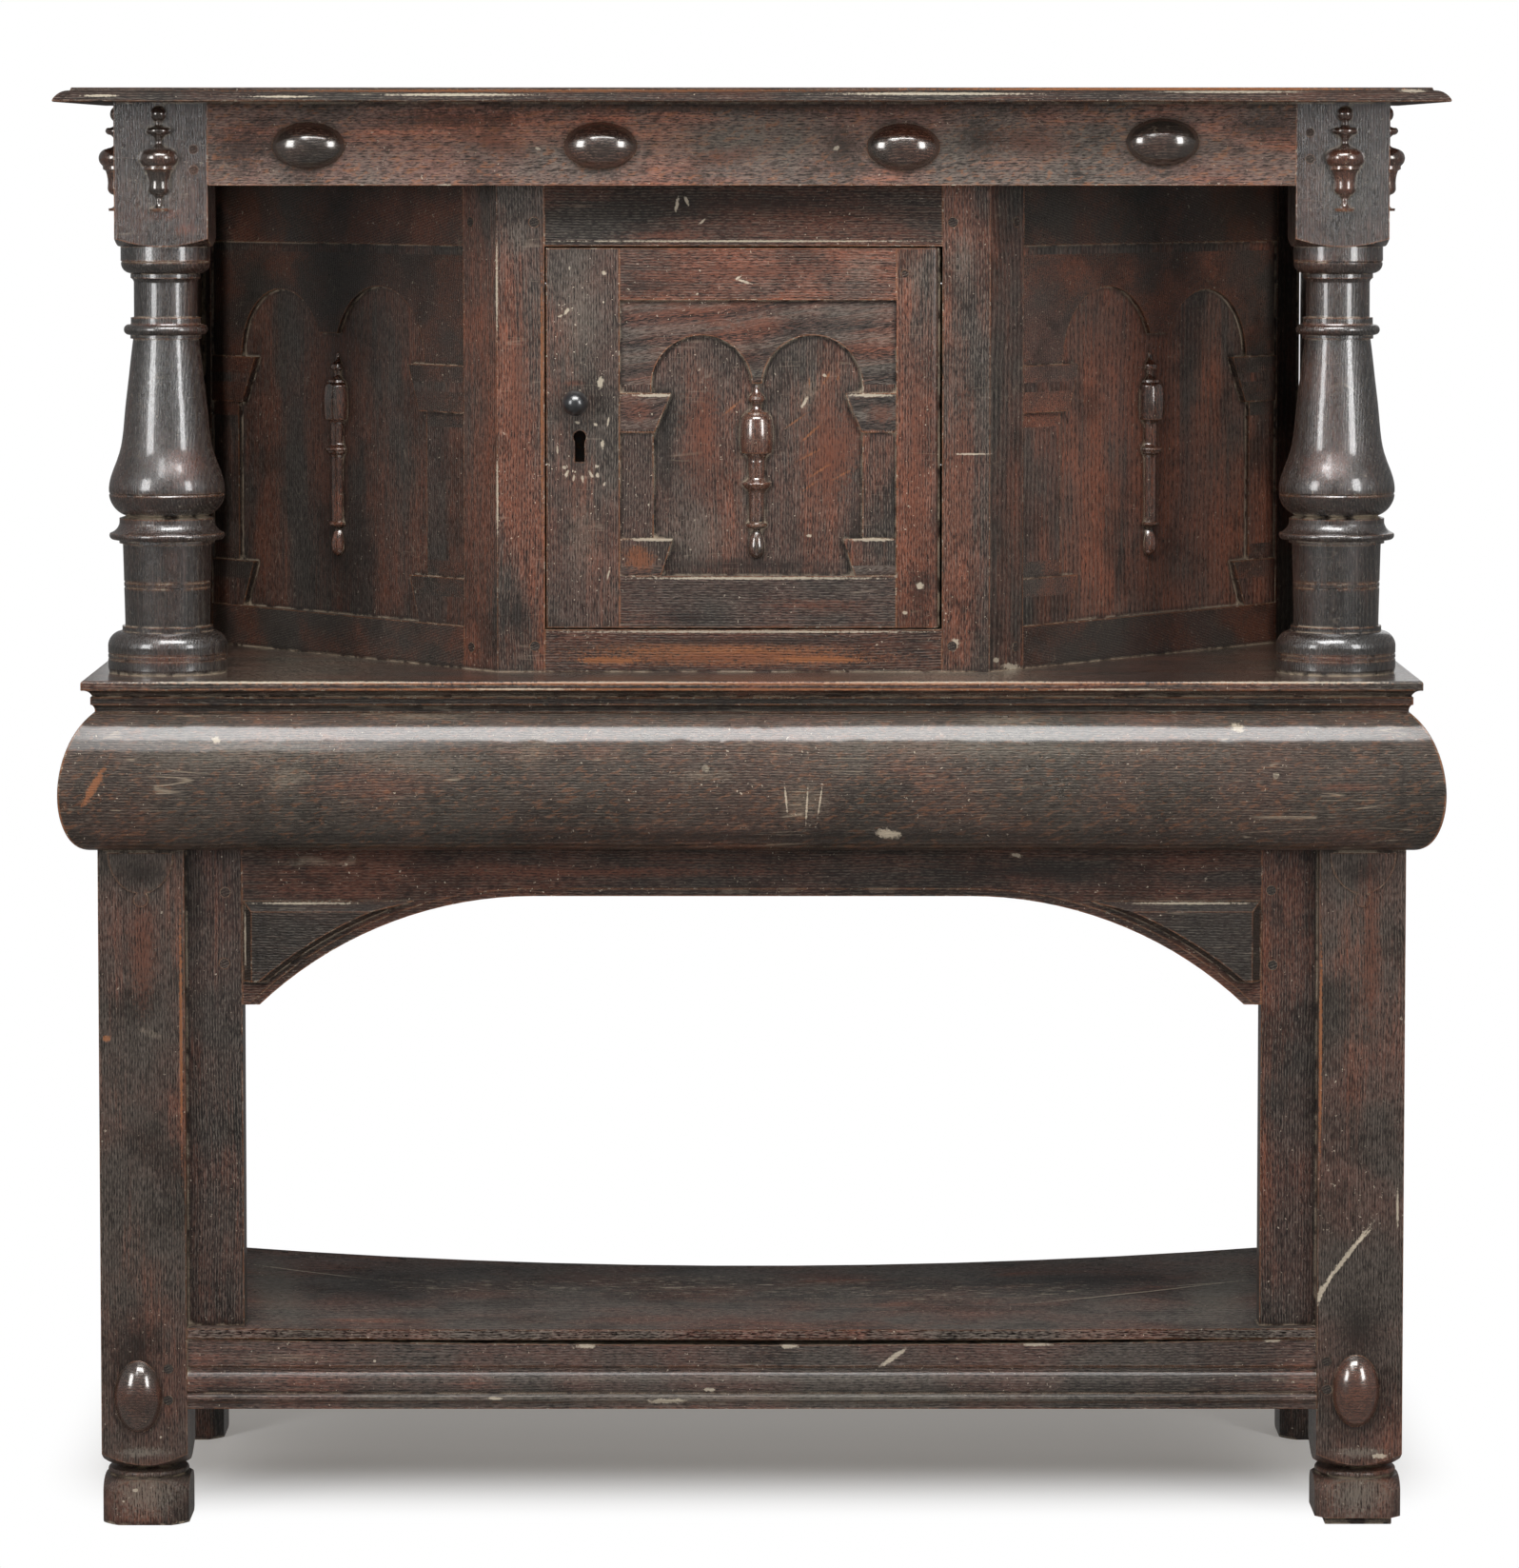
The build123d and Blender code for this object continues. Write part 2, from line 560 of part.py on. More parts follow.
def corner_post():
    """The five-sided right-hand post between the front and the splayed side."""
    slope = radians(SPLAY)
    along = (cos(slope), sin(slope))
    into = (-sin(slope), cos(slope))
    end = (ARRIS_X + SPLAY_POST_FACE * along[0], CUPBOARD_FACE + SPLAY_POST_FACE * along[1])
    inner = (end[0] + FRAME_THICK * into[0], end[1] + FRAME_THICK * into[1])
    outline = [(OPENING_HALF, CUPBOARD_FACE), (ARRIS_X, CUPBOARD_FACE), end, inner,
               (OPENING_HALF, CUPBOARD_FACE + FRAME_THICK)]
    return plan(outline, MID_BOARD_TOP, TOP_BOARD_Z)


def rear_stile():
    """The right-hand splayed side's rear stile, cut off at the plane of the back."""
    long_enough = (BACK - CUPBOARD_FACE) / sin(radians(SPLAY)) + FRAME_THICK
    whole = splayed(board(SPLAY_FIELD_END, long_enough, 0, FRAME_THICK, MID_BOARD_TOP, TOP_BOARD_Z))
    return whole - board(0, TOP_HALF, BACK, BACK + 100, 0, TOP)


def cupboard(parts, posts):
    """The splayed cupboard's frames, panels and back."""
    end = SPLAY_FIELD_END
    face = CUPBOARD_FACE
    top_rail = rail(-OPENING_HALF, OPENING_HALF, face, face + FRAME_THICK, HEAD_Z, TOP_BOARD_Z)
    sill = rail(-OPENING_HALF, OPENING_HALF, face, face + FRAME_THICK, MID_BOARD_TOP, SILL_TOP)
    splay_top = splayed(rail(SPLAY_POST_FACE, end, 0, FRAME_THICK, HEAD_Z, TOP_BOARD_Z))
    splay_sill = splayed(rail(SPLAY_POST_FACE, end, 0, FRAME_THICK, MID_BOARD_TOP, SILL_TOP))
    panel = splayed(sunk_panel(SPLAY_POST_FACE, end, SILL_TOP, HEAD_Z))
    pegs = group(peg(175.5, face, 1088), peg(175.5, face, 732), splayed(peg(36, 0, 1088)),
                 splayed(peg(36, 0, 729)))
    lines = splayed(arcade(
        SPLAY_POST_FACE, end, SILL_TOP, HEAD_Z, spring=967, arches=((169.7, 64.7), (313, 60)), tongue=990,
        capital=(926.5, 966.5), base=(SILL_TOP, 786),
        near=(80, 64.5, 56, 78.5, 65), far=(66, 46, 38, 63, 46)))
    drop = splayed(Pos(234, PANEL_SUNK, 974) * pendant(53))
    post = corner_post()
    stile = rear_stile()
    for piece in (top_rail, sill, splay_top, splay_sill, panel):
        post -= piece
    for piece in (splay_top, splay_sill, panel):
        stile -= piece
    mortise = board(-OPENING_HALF - 12, -OPENING_HALF, face + 12.6, face + 19, 911, 922)

    def placed(shape):
        return Pos(CUPBOARD_X, 0, 0) * shape

    def pair(shape):
        return placed(mirrored(shape)), placed(shape)

    both_pegs = group(mirrored(pegs), pegs)
    parts["corner_post_left"] = placed(mirrored(post - pegs) - mortise)
    parts["corner_post_right"] = placed(post - pegs)
    parts["cupboard_top_rail"] = placed(top_rail - both_pegs)
    parts["cupboard_sill"] = placed(sill - both_pegs)
    parts["splayed_top_rails"] = group(*pair(splay_top - panel - pegs))
    parts["splayed_sills"] = group(*pair(splay_sill - panel - pegs))
    parts["splayed_stiles"] = group(*(side - rear_post for side, rear_post in zip(pair(stile), posts)))
    parts["splayed_panel_left"], parts["splayed_panel_right"] = pair(panel)
    parts["splayed_arcade_left"], parts["splayed_arcade_right"] = pair(lines)
    parts["splayed_pendants"] = group(*pair(drop))
    rail_front, rail_back = BACK - 36, BACK - 12
    back_rail = plan([(-inside_x(rail_front), rail_front), (inside_x(rail_front), rail_front),
                      (inside_x(rail_back), rail_back), (-inside_x(rail_back), rail_back)], 1128, TOP_BOARD_Z)
    planks = []
    for lower, upper in ((MID_BOARD_TOP, 868), (868, 1030), (1030, TOP_BOARD_Z)):
        planks.append(plan([(-inside_x(rail_back), rail_back), (inside_x(rail_back), rail_back),
                            (inside_x(BACK), BACK), (-inside_x(BACK), BACK)], lower, upper))
    parts["upper_back_rail"] = placed(back_rail)
    parts["back_boards"] = placed(group(*planks))
    hinge = (DOOR_HALF - HINGE_INSET, face + HINGE_INSET)
    pins = []
    for height, collar in ((SILL_TOP, 0.6), (HEAD_Z, -0.6)):
        pin = Pos(*hinge, height) * Cylinder(HINGE_PIN_RADIUS, 30)
        pins.append(pin + Pos(*hinge, height + collar) * Cylinder(6, 1.2))
    parts["hinge_pins"] = placed(group(*pins))
    for name in ("cupboard_sill", "cupboard_top_rail"):
        parts[name] -= parts["hinge_pins"]
    return placed(both_pegs)


# ---- Door ----------------------------------------------------------------------------------


def door(parts):
    """The panelled door with its arcade, pendant, knob and cut-in lock."""
    lower, upper = DOOR_Z + DOOR_RAIL, DOOR_TOP - DOOR_RAIL
    lock_stile = board(-DOOR_HALF, FIELD_LEFT, 0, DOOR_THICK, DOOR_Z, DOOR_TOP)
    hanging = board(FIELD_RIGHT, DOOR_HALF, 0, DOOR_THICK, DOOR_Z, DOOR_TOP)
    hanging = fillet(hanging.edges().filter_by(Axis.Z).group_by(Axis.Y)[0].sort_by(Axis.X)[-1:], HINGE_INSET)
    top_rail = rail(FIELD_LEFT, FIELD_RIGHT, 0, DOOR_THICK, upper, DOOR_TOP)
    bottom_rail = rail(FIELD_LEFT, FIELD_RIGHT, 0, DOOR_THICK, DOOR_Z, lower)
    panel = sunk_panel(FIELD_LEFT, FIELD_RIGHT, lower, upper)
    support = (43, 29.3, 28.3, 44.5, 34.7)
    lines = arcade(
        FIELD_LEFT, FIELD_RIGHT, lower, upper, spring=951, arches=((-35.1, 42.4), (57.8, 42.4)), tongue=953,
        capital=(911.8, 944.8), base=(lower, 822.3), near=support, far=support)
    drop = Pos(11, PANEL_SUNK, 953) * pendant(23)

    pegs = [peg(135.5, 0, 1045, 3)]
    pegs += [Pos(x, DOOR_THICK - 6, z) * Rot(90, 0, 0) * Cylinder(3, 12)
             for x, z in ((-110, 1045), (-110, 768), (135.5, 768))]
    knob = turned((0, -16), (4.6, -16), (4.6, 0), (7.5, 0), (7.5, 1.6), (4.4, 3.6), (4.4, 6),
                  [(8, 9), (10.8, 15.7), (7.7, 23.2), (0, 26.5)])
    knob = Pos(KNOB_X, 0, KNOB_Z) * Rot(90, 0, 0) * knob
    keyhole = Pos(KEYHOLE_X, KEYHOLE_Z) * Circle(5.4)
    keyhole += block_face(KEYHOLE_X - 4, KEYHOLE_X + 4, 887, KEYHOLE_Z)
    key_way = elevation(keyhole, -1, 20)
    case = board(-DOOR_HALF, -113, 10, DOOR_THICK, 880, 926)
    channel = board(-DOOR_HALF - 1, -121, 13, 18.6, 911.5, 921.5)
    for piece in (top_rail, bottom_rail, panel, case, key_way, knob, *pegs):
        lock_stile -= piece
    pin_hole = Cylinder(HINGE_PIN_RADIUS + HINGE_PLAY, 32)
    pin_holes = [Pos(DOOR_HALF - HINGE_INSET, HINGE_INSET, z) * pin_hole for z in (DOOR_Z, DOOR_TOP)]
    for piece in (top_rail, bottom_rail, panel, *pegs, *pin_holes):
        hanging -= piece
    for piece in pegs:
        top_rail -= piece
        bottom_rail -= piece

    def placed(shape):
        return Pos(CUPBOARD_X, CUPBOARD_FACE, 0) * shape

    parts["door_lock_stile"] = placed(lock_stile)
    parts["door_hanging_stile"] = placed(hanging)
    parts["door_top_rail"] = placed(top_rail - panel)
    parts["door_bottom_rail"] = placed(bottom_rail - panel)
    parts["door_panel"] = placed(panel)
    parts["door_arcade"] = placed(lines)
    parts["door_pendant"] = placed(drop)
    parts["door_pegs"] = placed(group(*pegs))
    parts["door_knob"] = placed(knob)
    parts["lock_case"] = placed(case - channel - key_way)
    parts["lock_bolt"] = placed(board(-DOOR_HALF + 0.3, -124, 13.3, 18.3, 911.8, 921.2))


# ---- Frieze --------------------------------------------------------------------------------


def frieze(parts):
    """Columns, frieze rails, bosses and urns under the top board."""
    shaft = column()
    inner = COLUMN_X - BLOCK / 2
    front_rail = rail(-inner, inner, FRIEZE_FACE, FRIEZE_FACE + FRAME_THICK, FRIEZE_Z, TOP_BOARD_Z)
    block_back = COLUMN_DEPTH + BLOCK / 2
    end_rail = board(POST_OUTER - FRAME_THICK, POST_OUTER, block_back, POST_FRONT, FRIEZE_Z, TOP_BOARD_Z)
    end_rail += board(POST_OUTER - 16, POST_OUTER - 8, block_back - TENON, POST_FRONT + TENON,
                      FRIEZE_Z + TENON_SHOULDER, TOP_BOARD_Z - TENON_SHOULDER)
    left_pegs = [peg(-464.4, FRIEZE_FACE, z, 3.4) for z in (1149, 1132)]
    right_pegs = [peg(464.4, FRIEZE_FACE, z, 3.4) for z in (1163, 1141)]
    boss = egg_boss(32.5, 21, 14)
    bosses = [Pos(x, FRIEZE_FACE, z) * boss
              for x, z in ((-369, 1152), (-126, 1152), (126, 1151), (342, 1155))]
    bosses += [Pos(x, 0, z) * Rot(0, 90, 0) * boss for x, z in ((-513, 109), (505, 114))]
    front_urn = Pos(COLUMN_X + 1.5, FRIEZE_FACE, 1097.5) * urn()
    side_urn = Pos(COLUMN_X + BLOCK / 2, COLUMN_DEPTH, 1097.5) * Rot(0, 0, 90) * urn()
    right = shaft - front_rail - end_rail
    left = mirrored(right)
    for right_peg, left_peg in zip(right_pegs, left_pegs):
        right -= right_peg
        left -= left_peg
    for driven in right_pegs + left_pegs:
        front_rail -= driven
    parts["column_left"] = left
    parts["column_right"] = right
    parts["frieze_rail"] = front_rail
    parts["frieze_side_rails"] = group(mirrored(end_rail), end_rail)
    parts["oval_bosses"] = group(*bosses)
    parts["frieze_urns"] = group(mirrored(front_urn), front_urn, mirrored(side_urn), side_urn)
    parts["rear_post_left"] -= mirrored(end_rail)
    parts["rear_post_right"] -= end_rail
    return left_pegs + right_pegs


# ---- Pegs through the lower stage ----------------------------------------------------------


def case_pegs(parts, frieze_pegs, cupboard_pegs):
    """Drive the pegs of the legs and apron, cutting their holes as they go."""
    driven = []
    for x, face, z, names in (
            (-487.4, 0, 132.6, ("front_leg_left", "shelf_front_rail")),
            (-487.8, 0, 106, ("front_leg_left", "shelf_front_rail")),
            (480.7, 0, 139, ("front_leg_right", "shelf_front_rail")),
            (480.7, 0, 115.2, ("front_leg_right", "shelf_front_rail")),
            (-439, STILE_FACE, 531.3, ("apron_stile_left", "apron_rail")),
            (-440, STILE_FACE, 471.7, ("apron_stile_left", "apron_rail")),
            (433, STILE_FACE, 532.9, ("apron_stile_right", "apron_rail")),
            (434.5, STILE_FACE, 470.2, ("apron_stile_right", "apron_rail"))):
        driven.append(peg(x, face, z))
        for name in names:
            parts[name] -= driven[-1]
    parts["case_pegs"] = group(*driven, *frieze_pegs, cupboard_pegs)


# ---- Assembly ------------------------------------------------------------------------------


def export(parts):
    """Write one STEP file per node, with the origin on the floor under the middle."""
    os.makedirs("parts", exist_ok=True)
    for name, shape in parts.items():
        export_step(Pos(0, -ORIGIN_DEPTH, 0) * shape, f"parts/{name}.step")


def main():
    """Build every node and write it."""
    parts = {}
    lower_stage(parts)
    drawer(parts)
    posts = parts["rear_post_left"], parts["rear_post_right"]
    cupboard_pegs = cupboard(parts, posts)
    door(parts)
    frieze_pegs = frieze(parts)
    case_pegs(parts, frieze_pegs, cupboard_pegs)
    parts["mid_board"] = mid_board(posts)
    parts["top_board"] = top_board()
    export(parts)


main()
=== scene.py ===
import json
from dataclasses import dataclass
from math import pi, radians

import bmesh
import bpy
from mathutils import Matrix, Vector


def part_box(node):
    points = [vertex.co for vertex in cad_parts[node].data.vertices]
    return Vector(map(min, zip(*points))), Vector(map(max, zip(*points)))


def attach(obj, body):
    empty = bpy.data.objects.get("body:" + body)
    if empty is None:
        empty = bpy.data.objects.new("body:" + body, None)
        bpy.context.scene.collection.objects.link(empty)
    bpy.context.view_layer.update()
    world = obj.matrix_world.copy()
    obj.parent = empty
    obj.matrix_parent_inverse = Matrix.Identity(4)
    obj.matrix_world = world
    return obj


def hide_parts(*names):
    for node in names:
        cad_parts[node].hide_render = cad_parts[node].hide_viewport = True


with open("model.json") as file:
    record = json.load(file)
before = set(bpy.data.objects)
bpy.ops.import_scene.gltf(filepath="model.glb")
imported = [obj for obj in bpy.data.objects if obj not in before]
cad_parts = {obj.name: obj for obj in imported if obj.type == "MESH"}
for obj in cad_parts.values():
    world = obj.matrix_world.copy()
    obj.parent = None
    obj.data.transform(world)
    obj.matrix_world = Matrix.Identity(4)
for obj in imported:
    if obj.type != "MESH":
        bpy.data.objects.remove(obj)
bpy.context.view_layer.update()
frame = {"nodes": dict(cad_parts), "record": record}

bl_info = {
    "name": "Court Cupboard",
    "version": (1, 0, 0),
    "blender": (4, 5, 0),
    "location": "View3D > Sidebar > Court Cupboard",
    "description": "Finishes an oak court cupboard: eased arrises, waxed grain, wear and dust",
    "category": "Object",
}

NODES = frame["nodes"]
BODY_OF = {node: body for body, nodes in frame["record"]["behaviour"]["bodies"].items() for node in nodes}
MM = 0.001


# ---- Settings ----


def colour(name, description, default):
    """A colour that a user can change."""
    return bpy.props.FloatVectorProperty(
        name=name, description=description, default=default, size=4, min=0.0, max=1.0, subtype="COLOR")


def length(name, description, default):
    """A length in metres that a user can change."""
    return bpy.props.FloatProperty(
        name=name, description=description, default=default, min=0.0, unit="LENGTH", subtype="DISTANCE")


def power(name, description, default):
    """A lamp's power that a user can change."""
    return bpy.props.FloatProperty(name=name, description=description, default=default, min=0.0, unit="POWER")


class OakSettings(bpy.types.PropertyGroup):
    """Colours of the old oak."""

    grey: colour("Grey oak", "Darkened surface that little light has reached", (0.046, 0.037, 0.032, 1.0))
    brown: colour("Brown oak", "Body colour under the wax", (0.066, 0.034, 0.027, 1.0))
    red: colour("Red oak", "Where rubbing shows the stain", (0.150, 0.048, 0.026, 1.0))
    # Also laid as painted glints on the grain and as painted sheen on the cushion.
    bloom: colour("Bloom", "Dulled wax, greyed by handling", (0.20, 0.18, 0.15, 1.0))
    # Also laid as painted shade in corners and under overhangs.
    pore: colour("Pores", "Wax and dirt in the open pores", (0.004, 0.003, 0.003, 1.0))
    rubbed: colour("Rubbed arris", "Bare wood on worn edges", (0.34, 0.125, 0.045, 1.0))
    dust: colour("Dust", "Old polish and dust in the quirks", (0.52, 0.43, 0.32, 1.0))
    # Also laid as painted highlights along lit arrises and ledges.
    chip: colour("Chips", "Fresh chips and filler", (0.62, 0.54, 0.42, 1.0))


class WearSettings(bpy.types.PropertyGroup):
    """How far edges are eased and how wide the wear is."""

    arris: length("Eased arris", "Width of the eased edge of a board", 1.1 * MM)
    rub: length("Rubbed width", "How far rubbing spreads from an edge", 2.2 * MM)
    quirk: length("Dusty width", "How far dust spreads from a corner", 5.0 * MM)


class StudioSettings(bpy.types.PropertyGroup):
    """The camera and the lamps."""

    lens: bpy.props.FloatProperty(name="Lens", description="Focal length", default=143.5, unit="CAMERA")
    distance: length("Distance", "From the front of the legs to the camera", 5.164)
    height: length("Height", "Height of the camera", 1.145)
    tilt: bpy.props.FloatProperty(
        name="Tilt", description="How far the camera looks down", default=radians(3.899), subtype="ANGLE")
    side_power: power("Side lamps", "Power of each side softbox", 27.0)
    top_power: power("Top lamp", "Power of the overhead softbox", 44.0)
    back_power: power("Back lamp", "Power of the softbox behind", 8.0)
    front_power: power("Front lamp", "Power of the small softbox high at the front", 7.5)
    room: bpy.props.FloatProperty(
        name="Room light", description="Strength of the light from all round", default=0.06, min=0.0,
        max=1.0, subtype="FACTOR")
    mirrored: bpy.props.FloatProperty(
        name="Mirrored room", description="How much of the white surroundings shows in the polish",
        default=0.15, min=0.0, max=1.0, subtype="FACTOR")


# ---- Shader writing ----


class Value:
    """An output of a material's node, on which sums are written as plain expressions."""

    def __init__(self, shader, socket):
        self.shader = shader
        self.socket = socket

    def __add__(self, other):
        return self.shader.maths("ADD", self, other)

    def __radd__(self, other):
        return self.shader.maths("ADD", other, self)

    def __sub__(self, other):
        return self.shader.maths("SUBTRACT", self, other)

    def __rsub__(self, other):
        return self.shader.maths("SUBTRACT", other, self)

    def __mul__(self, other):
        return self.shader.maths("MULTIPLY", self, other)

    def most(self, other):
        """The larger of the two."""
        return self.shader.maths("MAXIMUM", self, other)

    def between(self, low, high):
        """0 below low, 1 above high, and a smooth step from one to the other."""
        settings = {"interpolation_type": "SMOOTHSTEP"}
        return self.shader.node("ShaderNodeMapRange", settings, self, low, high)


class Shader:
    """The nodes of a material, or of the world, under construction."""

    def __init__(self, owner):
        owner.use_nodes = True
        self.owner = owner
        self.tree = owner.node_tree
        self.tree.nodes.clear()

    def node(self, kind, settings=None, *values, out=0, **named):
        """Adds a node: its settings first, then its sockets by place or by name."""
        made = self.tree.nodes.new(kind)
        for key, setting in (settings or {}).items():
            setattr(made, key, setting)
        by_identifier = {socket.identifier: socket for socket in made.inputs}
        wanted = [(made.inputs[place], value) for place, value in enumerate(values)]
        for key, value in named.items():
            name = key.replace("_", " ")
            wanted.append((by_identifier[key] if key in by_identifier else made.inputs[name], value))
        for socket, value in wanted:
            if isinstance(value, Value):
                self.tree.links.new(value.socket, socket)
            else:
                socket.default_value = value
        return Value(self, made.outputs[out]) if made.outputs else None

    def mix(self, factor, first, second, blend="MIX"):
        """Two colours mixed."""
        settings = {"data_type": "RGBA", "blend_type": blend, "clamp_factor": True}
        return self.node("ShaderNodeMix", settings, out=2, Factor_Float=factor, A_Color=first, B_Color=second)

    def maths(self, operation, *values):
        """One Math node."""
        return self.node("ShaderNodeMath", {"operation": operation}, *values)

    def vector(self, operation, *values, out=0):
        """One Vector Math node."""
        return self.node("ShaderNodeVectorMath", {"operation": operation}, *values, out=out)

    def place(self):
        """The point on the surface, in metres in the piece's own frame."""
        return self.node("ShaderNodeTexCoord", out="Object")

    def noise(self, vector, scale=1.0, detail=2.0, roughness=0.5, warp=0.0):
        """Soft noise about 0.5."""
        return self.node("ShaderNodeTexNoise", {}, Vector=vector, Scale=scale, Detail=detail,
                         Roughness=roughness, Distortion=warp)


# ---- Marks of wear ----

# What each kind of mark is made of: its colour, its strength, and how soft its edge is.
MARK_KINDS = {
    # Chips: fresh chips and filler, and pale lines of painted highlight on lit arrises.
    "chip": ("chip", 0.7, 0.45),
    # Bloom: dulled wax, and in places painted sheen.
    "bloom": ("bloom", 0.22, 1.0),
    "dusting": ("dust", 0.10, 0.9),
    "glow": ("red", 0.38, 0.9),
    "amber": ("rubbed", 0.42, 0.9),
    "rub": ("rubbed", 0.7, 0.5),
    # Darkening: grime, and painted shade under overhangs and in fillets.
    "grime_and_shade": ("pore", 0.45, 1.0),
    "pale": ("bloom", 0.45, 0.8),
    "scuff": ("chip", 0.6, 1.0),
}
# Marks that sit in one place, in runs of one kind. Each: x and z, half its width, half its height (mm), and
# its tilt (degrees) where it has one.
TOP_MARKS = (
    ("chip", (-245.1, 1193.9, 72, 1.3), (-387.5, 1192.3, 32, 1), (150.2, 1194.7, 96, 1.3),
     (395.4, 1196.3, 72, 1.1), (-55.4, 1201, 48, 1)),
    ("rub", (-150.2, 1197.1, 336, 1.3)),
    ("chip", (545.6, 1197.1, 12.8, 1.6), (-537.7, 1193.1, 16, 1.3)),
    ("rub", (324.2, 1198.7, 240, 1.3)),
    # Painted shade in the two fillets of the top's moulded edge.
    ("grime_and_shade", (0, 1196.9, 600, 1.2), (0, 1189, 600, 1.6)),
)
FRIEZE_MARKS = (
    ("grime_and_shade", (-374, 1148.3, 46, 30), (-126.3, 1148.3, 46, 30), (126.3, 1148.3, 46, 30),
     (339.6, 1148.3, 46, 30)),
    ("bloom", (24, 1154.7, 496, 27.2)),
    # Darker patches, and a band of painted shadow under the top board's edge along the frieze's top.
    ("grime_and_shade", (-425, 1150, 30, 30), (-250, 1174, 110, 12), (75, 1152, 26, 28), (190, 1158, 30, 26),
     (425, 1168, 46, 14), (0, 1184.2, 448, 8)),
    ("glow", (-215.7, 1154.7, 48, 12.8, 20), (-24, 1142.7, 48, 11.2, -10), (231.7, 1154.7, 48, 16, 10),
     (-183.8, 1118.7, 208, 1.6)),
    ("chip", (-255.7, 1118.7, 7.2, 1.8), (-178.2, 1149.9, 3.2, 1.6, 20), (70.3, 1149.9, 4, 2, -20),
     (167.8, 1118.7, 3.2, 1.2)),
)
COLUMN_MARKS = (
    ("bloom", (-491.4, 1126.7, 35.2, 48), (494.6, 1126.7, 35.2, 48)),
    ("glow", (-486.9, 723.7, 40, 6.4), (486.1, 723.7, 40, 6.4), (-486.9, 1003.1, 48, 2.4),
     (486.1, 1003.1, 48, 2.4), (-475, 885, 22, 22), (480, 885, 26, 20), (-490, 1095, 22, 8),
     (-471.4, 1082.7, 16, 6.4)),
    ("chip", (-499.4, 1129.1, 5.6, 2.4)),
)
HEAD_RAIL_MARKS = (
    ("chip", (-5.6, 1072.3, 169.6, 0.9)),
    # Painted shadow of the frieze along the top of the rail.
    ("grime_and_shade", (-5.6, 1104.1, 176, 13)),
    ("glow", (-72.4, 1077.1, 48, 4)),
    ("chip", (-62.7, 1102.9, 1.6, 7.2, 10), (-54.7, 1106.1, 1.6, 5.6, -20), (-41.8, 1088.4, 4, 1.2, -40)),
)
LEFT_POST_MARKS = (
    ("glow", (-197, 937.2, 11.2, 128)),
    ("rub", (-176.2, 937.2, 1.3, 136)),
    ("bloom", (-197, 1073.9, 12.8, 24)),
    ("chip", (-213.9, 1033.7, 1, 48), (-213.9, 856.8, 1, 40)),
    ("grime_and_shade", (-197, 760.3, 16, 24)),
)
RIGHT_POST_MARKS = (
    ("chip", (218.6, 713, 8.8, 3.2, 8), (206.1, 719.6, 3.2, 2.4)),
    ("glow", (178.5, 889, 11.2, 96)),
    ("bloom", (176.9, 1057.8, 12.8, 40)),
    ("chip", (171.3, 734.6, 4, 4.8, 30), (184.9, 893.8, 17.6, 1)),
)
LOCK_STILE_MARKS = (
    ("chip", (-155.2, 878.5, 1.4, 3.4, 30), (-149.6, 873.7, 1.2, 3.2, 12), (-142.3, 872.9, 1.2, 3.4, -8),
     (-135.1, 876.9, 1.4, 3.4, -30), (-120.6, 921.1, 1, 4.4, 10), (-163.2, 897, 1, 4),
     (-123.8, 868.9, 1, 2.4, 20), (-160.8, 1009.6, 2.4, 1, -20), (-152.8, 1049.8, 1, 2),
     (-120.6, 792.5, 0.9, 5, 15)),
    ("bloom", (-144.7, 1009.6, 24, 72), (-143.1, 824.7, 20.8, 48)),
    ("chip", (-127.1, 954.1, 2.8, 5.6, 8), (-146.3, 920.3, 2.4, 1.6), (-131.1, 918.7, 2.4, 1.6, 20),
     (-125.4, 901.8, 2, 4), (-157.6, 882.5, 2.4, 1.6, 30), (-130.3, 883.4, 2.4, 1.6, -30),
     (-156, 876.1, 1.6, 2.4), (-129.5, 876.1, 1.6, 2.4), (-123.8, 1045.8, 2.4, 2),
     (-155.2, 1013.6, 1.6, 4, 30)),
    ("glow", (-149.6, 953.3, 11.2, 3.2)),
    ("grime_and_shade", (-146.3, 897, 12.8, 28.8)),
)
HANGING_STILE_MARKS = (
    ("grime_and_shade", (140.7, 776.4, 17.6, 32)),
    ("glow", (138.3, 897, 11.2, 104)),
    ("chip", (141.5, 782.8, 4, 3.2, 20)),
    ("bloom", (138.3, 1041.8, 12.8, 24)),
    ("chip", (128.7, 760.3, 2.4, 1.6)),
)
DOOR_TOP_MARKS = (
    ("glow", (8, 1046.6, 88, 10.4, -2), (-72.4, 1041.8, 40, 6.4, 3)),
    ("grime_and_shade", (-88.5, 1033.7, 32, 9.6)),
    ("chip", (-6.4, 1038.5, 7.2, 1.3, 15), (-11.3, 1041.8, 3.2, 1, -30)),
    ("bloom", (92.5, 1049.8, 24, 19.2)),
)
DOOR_BOTTOM_MARKS = (
    ("chip", (4, 789.3, 116.8, 1.4)),
    ("grime_and_shade", (-56.3, 756.3, 64, 8)),
    ("glow", (56.3, 766.8, 48, 6.4)),
)
